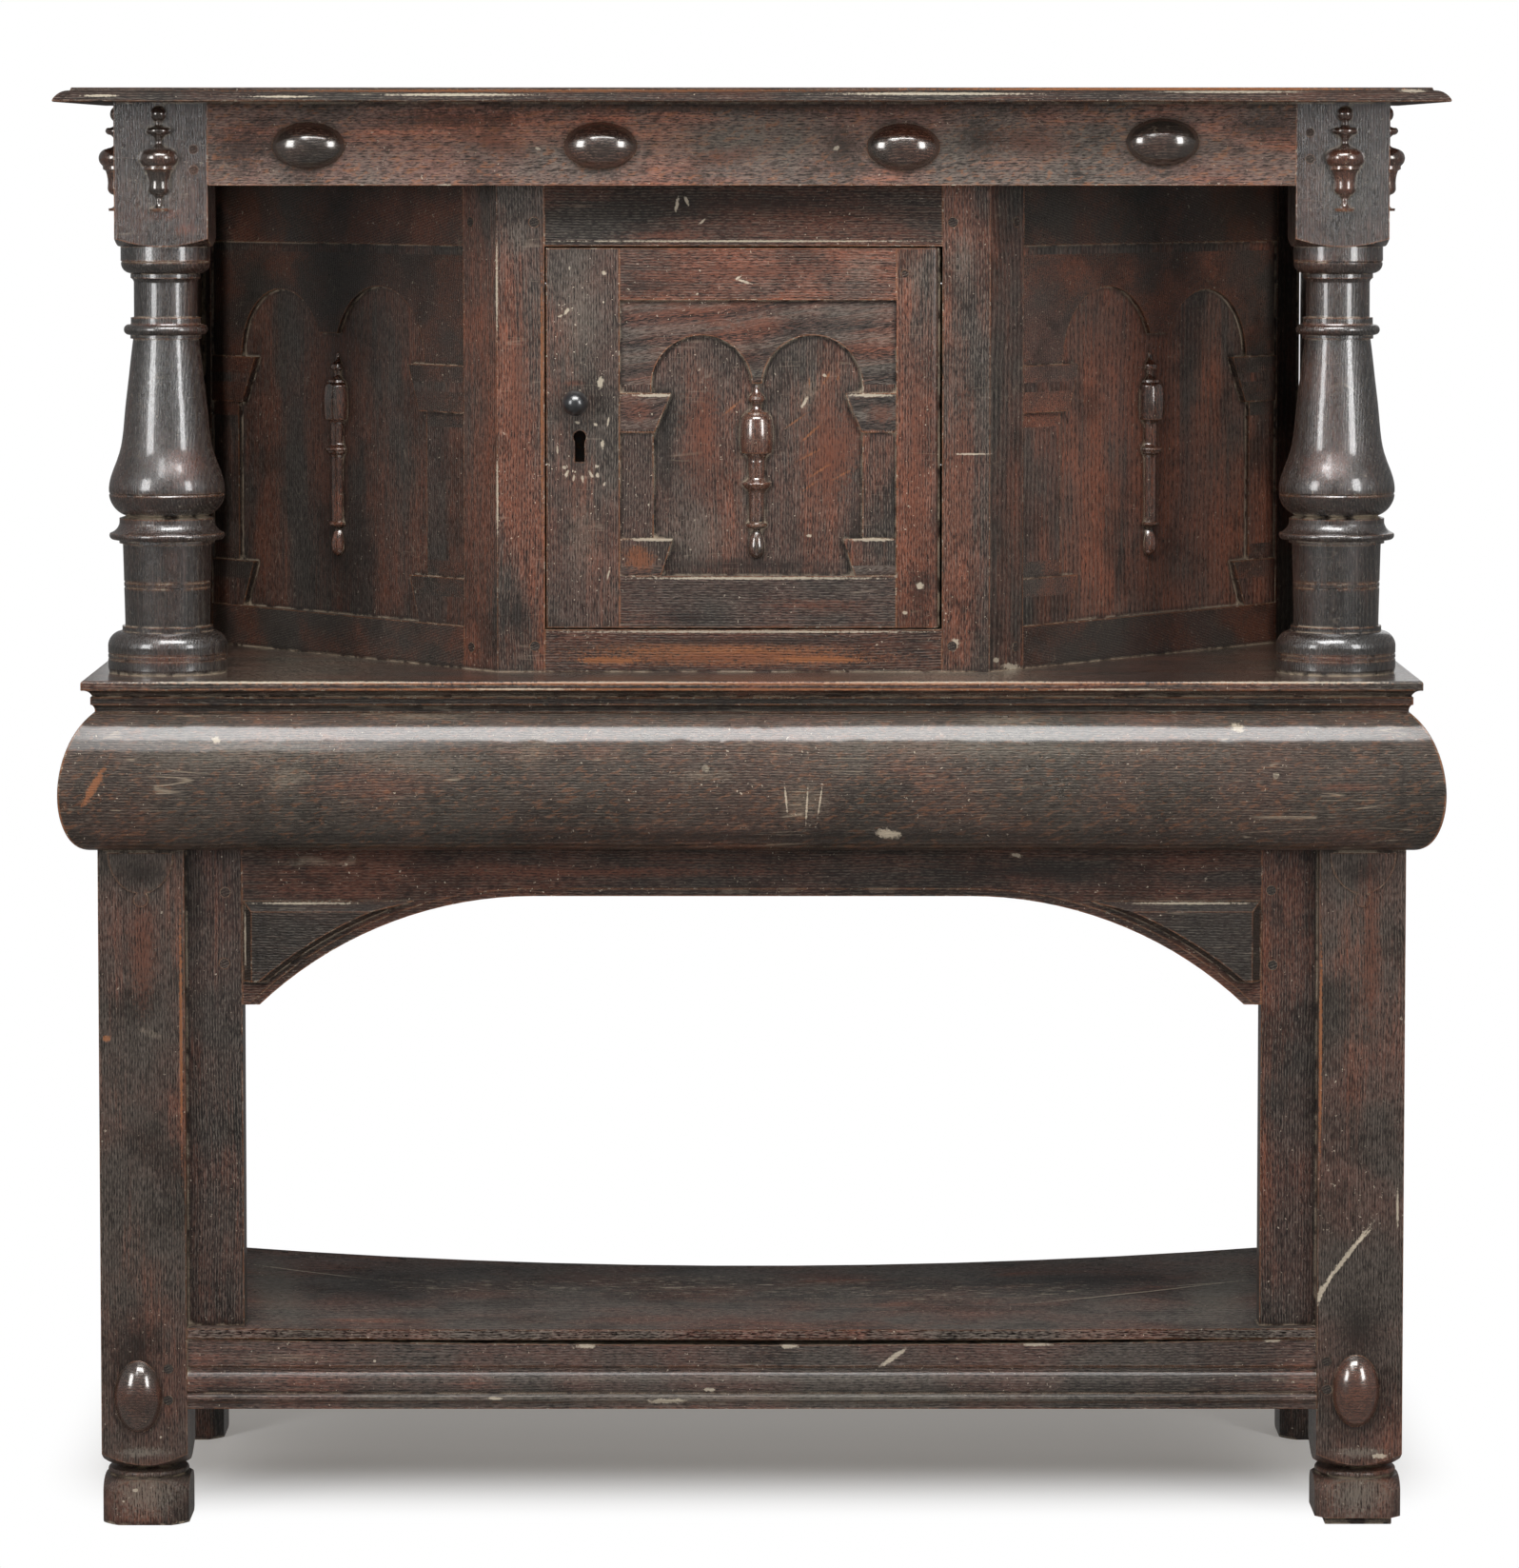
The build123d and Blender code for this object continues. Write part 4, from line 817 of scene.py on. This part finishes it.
def nail_tree():
    """Hand-made nails along rows of edges, each head lying on the face of a board."""
    tree = NodeTree("nail_rows", Board="Object", Aim="Vector", Spacing="Float", Width="Float",
                    Height="Float", Stray="Float", Seed="Int", Material="Material")
    given = tree.given
    curve = tree.node("GeometryNodeMeshToCurve", Mesh=given["Geometry"])
    rows = tree.node("GeometryNodeResampleCurve", {"mode": "LENGTH"}, Curve=curve, Length=given["Spacing"])
    points = tree.node("GeometryNodeCurveToPoints", {"mode": "EVALUATED"}, Curve=rows)
    shift = tree.node("FunctionNodeRandomValue", {"data_type": "FLOAT_VECTOR"}, Seed=given["Seed"],
                      Min=(-1.0, -1.0, -1.0), Max=(1.0, 1.0, 1.0))
    stray = tree.node("ShaderNodeVectorMath", {"operation": "SCALE"}, Vector=shift, Scale=given["Stray"])
    points = tree.node("GeometryNodeSetPosition", Geometry=points, Offset=stray)
    board = tree.node("GeometryNodeObjectInfo", {"transform_space": "RELATIVE"}, out="Geometry",
                      Object=given["Board"])
    back = tree.node("ShaderNodeVectorMath", {"operation": "SCALE"}, Vector=given["Aim"], Scale=-REACH)
    start = tree.node("ShaderNodeVectorMath", {"operation": "ADD"})
    tree.tree.links.new(tree.node("GeometryNodeInputPosition"), start.node.inputs[0])
    tree.tree.links.new(back, start.node.inputs[1])
    hit = tree.node("GeometryNodeRaycast", out="Hit Position", Target_Geometry=board, Source_Position=start,
                    Ray_Direction=given["Aim"], Ray_Length=3 * REACH)
    points = tree.node("GeometryNodeSetPosition", Geometry=points, Position=hit)
    lean = tree.node("FunctionNodeAlignRotationToVector", {"axis": "Z"},
                     Vector=hit.node.outputs["Hit Normal"])
    spin = tree.node("FunctionNodeRandomValue", {"data_type": "FLOAT"}, out=1, Seed=given["Seed"],
                     Min=0.0, Max=2 * pi)
    spun = tree.node("ShaderNodeCombineXYZ", Z=spin)
    lean = tree.node("FunctionNodeRotateRotation", {"rotation_space": "LOCAL"},
                     Rotation=lean, Rotate_By=spun)
    grow = tree.node("FunctionNodeRandomValue", {"data_type": "FLOAT"}, out=1, Seed=given["Seed"],
                     Min=0.85, Max=1.15)
    ball = tree.node("GeometryNodeMeshUVSphere", Segments=7, Rings=6, Radius=1.0)
    size = tree.node("ShaderNodeCombineXYZ", X=given["Width"], Y=given["Width"], Z=given["Height"])
    head = tree.node("GeometryNodeTransform", Geometry=ball, Scale=size)
    nails = tree.node("GeometryNodeInstanceOnPoints", Points=points, Instance=head,
                      Rotation=lean, Scale=grow)
    nails = tree.node("GeometryNodeRealizeInstances", Geometry=nails)
    nails = tree.node("GeometryNodeSetShadeSmooth", Geometry=nails, Shade_Smooth=False)
    tree.finish(tree.node("GeometryNodeSetMaterial", Geometry=nails, Material=given["Material"]))
    return tree


def nail_rows(name, tree, board, aim, rows, **sizes):
    """Nails along rows (pairs of points in mm) on one board of the case."""
    ends = [tuple(part * MM for part in point) for row in rows for point in row]
    mesh = bpy.data.meshes.new(name)
    mesh.from_pydata(ends, [(first, first + 1) for first in range(0, len(ends), 2)], [])
    nails = bpy.data.objects.new(name, mesh)
    bpy.context.scene.collection.objects.link(nails)
    tree.apply(nails, Board=board, Aim=aim, **sizes)
    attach(nails, "case")
    return nails


class Piecework:
    """Gives a run of nodes their oak, each from a different board."""

    def __init__(self, first_seed):
        self.seed = first_seed

    def coat(self, node, way, arris=None, **look):
        """One node in its own oak."""
        self.seed += 1
        return finish_node(node, oak(f"oak_{node}", way, self.seed, Look(**look)), arris)

    def dress(self, node, way, **look):
        """One node in its own oak, its arrises eased."""
        return self.coat(node, way, bpy.context.scene.cupboard_wear.arris, **look)


# ---- Operators ----


class CUPBOARD_OT_legs(bpy.types.Operator):
    """Front legs, rear posts and the slip under the right front foot"""

    bl_idname = "cupboard.legs"
    bl_label = "Legs and posts"

    def execute(self, context):
        work = Piecework(10)
        work.dress("front_leg_left", "z", tone=0.18, light=1.4, marks=LEG_LEFT_MARKS, **FRONT_LEG)
        work.dress("front_leg_right", "z", tone=0.08, light=1.55, marks=LEG_RIGHT_MARKS, **FRONT_LEG)
        work.dress("rear_post_left", "z", tone=0.25)
        work.dress("rear_post_right", "z", tone=0.25)
        work.dress("foot_packing", "x", tone=0.2, gloss=0.6, wax=0.0)
        return {"FINISHED"}


class CUPBOARD_OT_columns(bpy.types.Operator):
    """Turned columns with their head blocks"""

    bl_idname = "cupboard.columns"
    bl_label = "Columns"

    def execute(self, context):
        work = Piecework(20)
        for side in ("left", "right"):
            work.coat(f"column_{side}", "z", tone=0.26, gloss=0.26, wax=0.6, sheen=1.9,
                       light=0.42, contrast=0.6, relief=0.45, specks=0.6, scratches=0.2, amber=0.0,
                       marks=COLUMN_MARKS)
        return {"FINISHED"}


class CUPBOARD_OT_frieze(bpy.types.Operator):
    """Top board, frieze rails, oval bosses and split urns"""

    bl_idname = "cupboard.frieze"
    bl_label = "Top and frieze"

    def execute(self, context):
        work = Piecework(30)
        work.dress("top_board", "x", tone=0.6, light=0.38, gloss=0.58, wax=0.0, wear=0.8, marks=TOP_MARKS)
        work.dress("frieze_rail", "x", tone=0.03, light=3.4, figure=0.5, contrast=0.7, marks=FRIEZE_MARKS)
        work.dress("frieze_side_rails", "y", tone=0.3)
        work.coat("oval_bosses", "x", tone=0.55, light=0.75, contrast=0.5, relief=0.15,
                   specks=0.3, **POLISHED)
        work.coat("frieze_urns", "z", tone=0.8, light=0.7, contrast=0.4, relief=0.2, **POLISHED)
        return {"FINISHED"}


class CUPBOARD_OT_cupboard(bpy.types.Operator):
    """Frames, panels and back of the splayed cupboard"""

    bl_idname = "cupboard.cupboard"
    bl_label = "Splayed cupboard"

    def execute(self, context):
        work = Piecework(40)
        work.dress("corner_post_left", "z", tone=0.5, light=1.2, marks=LEFT_POST_MARKS)
        work.dress("corner_post_right", "z", tone=0.5, light=1.2, marks=RIGHT_POST_MARKS)
        # The rail under the frieze is darkened: painted shade.
        work.dress("cupboard_top_rail", "x", tone=0.7, light=0.65, marks=HEAD_RAIL_MARKS)
        work.dress("cupboard_sill", "x", tone=0.95, light=0.68, marks=SILL_MARKS)
        work.dress("splayed_top_rails", "x", tone=0.4)
        work.dress("splayed_sills", "x", tone=0.45)
        work.dress("splayed_stiles", "z", tone=0.4)
        # Painted shade on the left splay and painted light on the right: one oak, in darker and lighter
        # copies.
        for side, light in (("left", 0.9), ("right", 2.0)):
            work.coat(f"splayed_panel_{side}", "z", tone=0.65, light=light)
            work.coat(f"splayed_arcade_{side}", "z", tone=0.4, light=light * 0.9,
                       cross=IMPOSTS)
        # The splayed pendants are lightened: painted light where the columns and frieze shade them.
        work.coat("splayed_pendants", "z", tone=0.95, light=1.5, relief=0.2, **POLISHED)
        self.shrink_back_boards(oak("oak_back_boards", "x", 55, Look(light=3.0, **DRY_BACK)))
        work.coat("upper_back_rail", "x", light=2.6, **DRY_BACK)
        return {"FINISHED"}

    def shrink_back_boards(self, material):
        """A copy of the back boards, shrunk apart, their face inside the posts' for the nails' heads."""
        boards = bpy.data.objects.new("shrunk_back_boards", NODES["back_boards"].data.copy())
        bpy.context.scene.collection.objects.link(boards)
        mesh = boards.data
        middle = {}
        for polygon in mesh.polygons:
            for vertex in polygon.vertices:
                middle[vertex] = polygon.center.z - polygon.normal.z * MM
        outer = max(vertex.co.y for vertex in mesh.vertices)
        spans = list(zip(BACK_EDGES, BACK_EDGES[1:]))
        for vertex in mesh.vertices:
            low, high = next(span for span in spans if middle[vertex.index] < span[1] * MM)
            if vertex.co.z > high * MM - NEAR:
                vertex.co.z -= BACK_GAP
            elif vertex.co.z < low * MM + NEAR:
                vertex.co.z += BACK_GAP
            if vertex.co.y > outer - NEAR:
                vertex.co.y -= BACK_INSET
        mesh.materials.clear()
        mesh.materials.append(material)
        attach(boards, "case")
        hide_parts("back_boards")


class CUPBOARD_OT_door(bpy.types.Operator):
    """Panelled door, its arcade, pendant, pegs and knob"""

    bl_idname = "cupboard.door"
    bl_label = "Door"

    def execute(self, context):
        work = Piecework(60)
        work.dress("door_lock_stile", "z", tone=-0.05, light=1.4, specks=3.0, marks=LOCK_STILE_MARKS)
        work.dress("door_hanging_stile", "z", tone=0.7, light=1.2, marks=HANGING_STILE_MARKS)
        work.dress("door_top_rail", "x", tone=0.7, light=1.35, marks=DOOR_TOP_MARKS)
        work.dress("door_bottom_rail", "x", tone=0.5, marks=DOOR_BOTTOM_MARKS)
        work.coat("door_panel", "z", tone=0.25, light=1.2, marks=DOOR_PANEL_MARKS)
        work.coat("door_arcade", "z", tone=0.35, light=1.15, cross=IMPOSTS, marks=ARCADE_MARKS)
        work.coat("door_pendant", "z", tone=0.8, light=0.75, relief=0.2, **POLISHED)
        work.coat("door_pegs", "y", tone=0.2, light=0.8, wear=0.0)
        finish_node("door_knob", ebony_polish("ebony_knob"))
        return {"FINISHED"}


class CUPBOARD_OT_drawer(bpy.types.Operator):
    """Cushion-moulded drawer and the case round it"""

    bl_idname = "cupboard.drawer"
    bl_label = "Drawer stage"

    def execute(self, context):
        work = Piecework(80)
        work.dress("mid_board", "x", tone=0.35, gloss=0.30, wax=0.8, wear=1.4, marks=MID_MARKS)
        work.coat("mid_moulding", "x", tone=0.3, light=0.5, contrast=0.5)
        work.coat("drawer_cushion", "x", tone=0.05, light=0.82, figure=0.25, gloss=0.32,
                   wax=0.8, contrast=0.6, scratches=0.6, amber=0.6, sheen=1.55, satin=0.12,
                   marks=CUSHION_MARKS)
        work.coat("side_cushion_left", "y", tone=0.35)
        work.coat("side_cushion_right", "y", tone=0.35)
        work.coat("drawer_rail", "x", tone=0.2)
        work.coat("lower_back_rail", "x", light=2.6, **DRY_BACK)
        work.coat("case_sides", "y", tone=0.2)
        for node in ("drawer_front", "drawer_sides", "drawer_bottom", "drawer_back", "drawer_runners"):
            work.coat(node, "x", tone=0.3, light=1.6, gloss=0.6, wax=0.0)
        return {"FINISHED"}


class CUPBOARD_OT_apron(bpy.types.Operator):
    """Arched apron, its stiles and spandrel blocks"""

    bl_idname = "cupboard.apron"
    bl_label = "Apron"

    def execute(self, context):
        work = Piecework(110)
        work.dress("apron_rail", "x", tone=0.5, light=0.72, contrast=0.6, marks=APRON_MARKS)
        work.dress("apron_stile_left", "z", tone=0.2, light=1.0, contrast=0.75, amber=0.15, scratches=0.0)
        work.dress("apron_stile_right", "z", tone=0.25, light=1.0, contrast=0.75, amber=0.15, scratches=0.0)
        work.coat("spandrel_blocks", "x", tone=0.12, light=0.5, contrast=0.5, amber=0.4,
                   marks=SPANDREL_MARKS)
        work.coat("case_pegs", "y", tone=0.0, light=0.8, wear=0.0)
        return {"FINISHED"}


class CUPBOARD_OT_shelf(bpy.types.Operator):
    """Sagging shelf and the rails under it"""

    bl_idname = "cupboard.shelf"
    bl_label = "Shelf"

    def execute(self, context):
        work = Piecework(130)
        work.dress("shelf_board", "x", tone=-0.1, light=2.4, gloss=0.55, wax=0.0, sheen=1.14, contrast=1.3,
                   relief=1.5, specks=2.0, amber=0.1, marks=SHELF_MARKS, flat=True)
        work.dress("shelf_front_rail", "x", tone=0.0, light=1.45, contrast=0.75, amber=0.25,
                   marks=SHELF_RAIL_MARKS)
        work.dress("shelf_side_rails", "y", tone=0.2)
        work.dress("shelf_rear_rail", "x", tone=0.2)
        return {"FINISHED"}


class CUPBOARD_OT_ironwork(bpy.types.Operator):
    """Lock case, bolt and hinge pins"""

    bl_idname = "cupboard.ironwork"
    bl_label = "Ironwork"

    def execute(self, context):
        iron = dark_metal("iron_wrought", (0.045, 0.042, 0.040, 1.0), 0.4)
        for node in ("lock_case", "lock_bolt", "hinge_pins"):
            finish_node(node, iron)
        return {"FINISHED"}


class CUPBOARD_OT_nails(bpy.types.Operator):
    """Hand-made nails in the back boards and in the ends of the shelf"""

    bl_idname = "cupboard.nails"
    bl_label = "Nails"

    def execute(self, context):
        tree = nail_tree()
        iron = dark_metal("iron_nail", (0.030, 0.026, 0.024, 1.0), 0.5)
        sizes = dict(Width=3.6 * MM, Height=1.0 * MM, Stray=1.6 * MM, Material=iron)
        back = context.scene.objects["shrunk_back_boards"]
        nail_rows("back_nails", tree, back, (0.0, -1.0, 0.0), BACK_NAILS, Spacing=58 * MM,
                  Seed=4, **sizes)
        shelf = context.scene.objects["eased_shelf_board"]
        nail_rows("shelf_nails", tree, shelf, (0.0, 0.0, -1.0), SHELF_NAILS, Spacing=105 * MM,
                  Seed=9, **sizes)
        return {"FINISHED"}


# ---- Studio ----

# Half the floor's width (m), and how brightly it glows of itself.
FLOOR_HALF = 30.0
FLOOR_GLOW = 0.20
# Where the floor keeps its shadow: the middle and half the size (m) of its full part, how much quicker it
# ends sideways, and over how far (m) it fades.
SHADOW_MIDDLE = (0.0, 0.22, 0.0)
SHADOW_HALF = (0.48, 0.16, 0.0)
SHADOW_FALL = (1.7, 1.0, 1.0)
SHADOW_FADE = 0.25
# Each lamp: its name, place, width and height (m), and the setting that holds its power. All face the aim.
LAMPS = (
    ("softbox_left", (-2.15, -2.25, 1.55), (0.85, 1.4), "side_power"),
    ("softbox_right", (2.05, -2.3, 1.55), (0.75, 1.4), "side_power"),
    ("softbox_top", (0.0, -1.35, 2.6), (1.65, 0.85), "top_power"),
    ("softbox_back", (0.3, 2.9, 1.7), (2.4, 1.5), "back_power"),
    ("softbox_front", (-0.9, -3.1, 3.3), (0.8, 0.8), "front_power"),
)
LAMP_AIM = Vector((0.0, -0.1, 1.1))
# The width (mm) of the camera's sensor and how far its picture is shifted.
SENSOR = 36.0
SHIFT = (0.0049, -0.13)


class CUPBOARD_OT_studio(bpy.types.Operator):
    """White floor, five softboxes and the camera"""

    bl_idname = "cupboard.studio"
    bl_label = "Studio"

    def execute(self, context):
        self.lay_floor()
        self.set_world(context)
        self.hang_lamps(context)
        self.stand_camera(context)
        context.scene.view_settings.view_transform = "Standard"
        return {"FINISHED"}

    def lay_floor(self):
        """A wide white floor that keeps the shadow under the shelf."""
        corners = [(x * FLOOR_HALF, y * FLOOR_HALF, 0.0) for x, y in ((-1, -1), (1, -1), (1, 1), (-1, 1))]
        mesh = bpy.data.meshes.new("floor")
        mesh.from_pydata(corners, [], [(0, 1, 2, 3)])
        floor = bpy.data.objects.new("floor", mesh)
        bpy.context.scene.collection.objects.link(floor)
        s = Shader(bpy.data.materials.new("white_floor"))
        folded = s.vector("ABSOLUTE", s.vector("SUBTRACT", s.place(), SHADOW_MIDDLE))
        outside = s.vector("MAXIMUM", s.vector("SUBTRACT", folded, SHADOW_HALF), (0.0, 0.0, 0.0))
        outside = s.vector("MULTIPLY", outside, SHADOW_FALL)
        seen = self.paths_that_see(s)
        clear = s.vector("LENGTH", outside, out="Value").between(0.0, SHADOW_FADE) * seen
        matt = s.node("ShaderNodeBsdfDiffuse", {}, (0.95, 0.93, 0.91, 1.0))
        glow = s.node("ShaderNodeEmission", {}, (1.0, 0.95, 0.89, 1.0), seen * FLOOR_GLOW)
        shaded = s.node("ShaderNodeAddShader", {}, matt, glow)
        white = s.node("ShaderNodeEmission", {}, (1.0, 1.0, 1.0, 1.0), 1.0)
        both = s.node("ShaderNodeMixShader", {}, clear, shaded, white)
        dim = s.node("ShaderNodeEmission", {}, (1.0, 0.97, 0.94, 1.0),
                     bpy.context.scene.cupboard_studio.mirrored)
        polish = s.node("ShaderNodeLightPath", out="Is Glossy Ray")
        s.node("ShaderNodeOutputMaterial", {}, s.node("ShaderNodeMixShader", {}, polish, both, dim))
        floor.data.materials.append(s.owner)

    def paths_that_see(self, shader):
        """1 for rays from the camera, less for reflections, 0 for the rest."""
        path = shader.node("ShaderNodeLightPath").socket.node.outputs
        mirrored = Value(shader, path["Is Glossy Ray"]).most(Value(shader, path["Is Transmission Ray"]))
        shown = bpy.context.scene.cupboard_studio.mirrored
        return Value(shader, path["Is Camera Ray"]).most(mirrored * shown)

    def set_world(self, context):
        """White to the camera, dimmer as light."""
        world = bpy.data.worlds.new("room")
        context.scene.world = world
        s = Shader(world)
        room = context.scene.cupboard_studio.room
        seen = self.paths_that_see(s)
        strength = seen * (1.0 - room) + room
        back = s.node("ShaderNodeBackground", {}, (1.0, 1.0, 1.0, 1.0), strength)
        s.node("ShaderNodeOutputWorld", {}, back)

    def hang_lamps(self, context):
        """Two upright softboxes at the sides, one overhead, one behind and one high at the front."""
        studio = context.scene.cupboard_studio
        for name, spot, size, power in LAMPS:
            lamp = bpy.data.lights.new(name, "AREA")
            lamp.shape = "RECTANGLE"
            lamp.size, lamp.size_y = size
            lamp.energy = getattr(studio, power)
            held = bpy.data.objects.new(name, lamp)
            held.location = spot
            held.rotation_euler = (LAMP_AIM - Vector(spot)).to_track_quat("-Z", "Y").to_euler()
            context.scene.collection.objects.link(held)

    def stand_camera(self, context):
        """The camera, far off and looking a little down."""
        studio = context.scene.cupboard_studio
        lens = bpy.data.cameras.new("camera")
        lens.lens = studio.lens
        lens.sensor_width = SENSOR
        lens.shift_x, lens.shift_y = SHIFT
        camera = bpy.data.objects.new("camera", lens)
        leg_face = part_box("front_leg_left")[0].y + MM
        camera.location = (0.0, leg_face - studio.distance, studio.height)
        camera.rotation_euler = (radians(90) - studio.tilt, 0.0, 0.0)
        context.scene.collection.objects.link(camera)
        context.scene.camera = camera


class CUPBOARD_PT_panel(bpy.types.Panel):
    """The pieces, one button each."""

    bl_label = "Court Cupboard"
    bl_space_type = "VIEW_3D"
    bl_region_type = "UI"
    bl_category = "Court Cupboard"

    def draw(self, context):
        for operator in OPERATORS:
            self.layout.operator(operator.bl_idname)
        for key, group in SETTINGS.items():
            for name in group.__annotations__:
                self.layout.prop(getattr(context.scene, key), name)


OPERATORS = (CUPBOARD_OT_legs, CUPBOARD_OT_columns, CUPBOARD_OT_frieze, CUPBOARD_OT_cupboard,
             CUPBOARD_OT_door, CUPBOARD_OT_drawer, CUPBOARD_OT_apron, CUPBOARD_OT_shelf,
             CUPBOARD_OT_ironwork, CUPBOARD_OT_nails, CUPBOARD_OT_studio)
SETTINGS = {"cupboard_oak": OakSettings, "cupboard_wear": WearSettings, "cupboard_studio": StudioSettings}


def register():
    """Adds the classes and the settings to Blender."""
    for group in SETTINGS.values():
        bpy.utils.register_class(group)
    for name, group in SETTINGS.items():
        setattr(bpy.types.Scene, name, bpy.props.PointerProperty(type=group))
    for operator in OPERATORS:
        bpy.utils.register_class(operator)
    bpy.utils.register_class(CUPBOARD_PT_panel)


def unregister():
    """Takes them out again."""
    bpy.utils.unregister_class(CUPBOARD_PT_panel)
    for operator in reversed(OPERATORS):
        bpy.utils.unregister_class(operator)
    for name, group in reversed(SETTINGS.items()):
        delattr(bpy.types.Scene, name)
        bpy.utils.unregister_class(group)


def main():
    """Dresses the whole cupboard."""
    register()
    for operator in OPERATORS:
        family, action = operator.bl_idname.split(".")
        getattr(getattr(bpy.ops, family), action)()


if __name__ == "__main__":
    main()
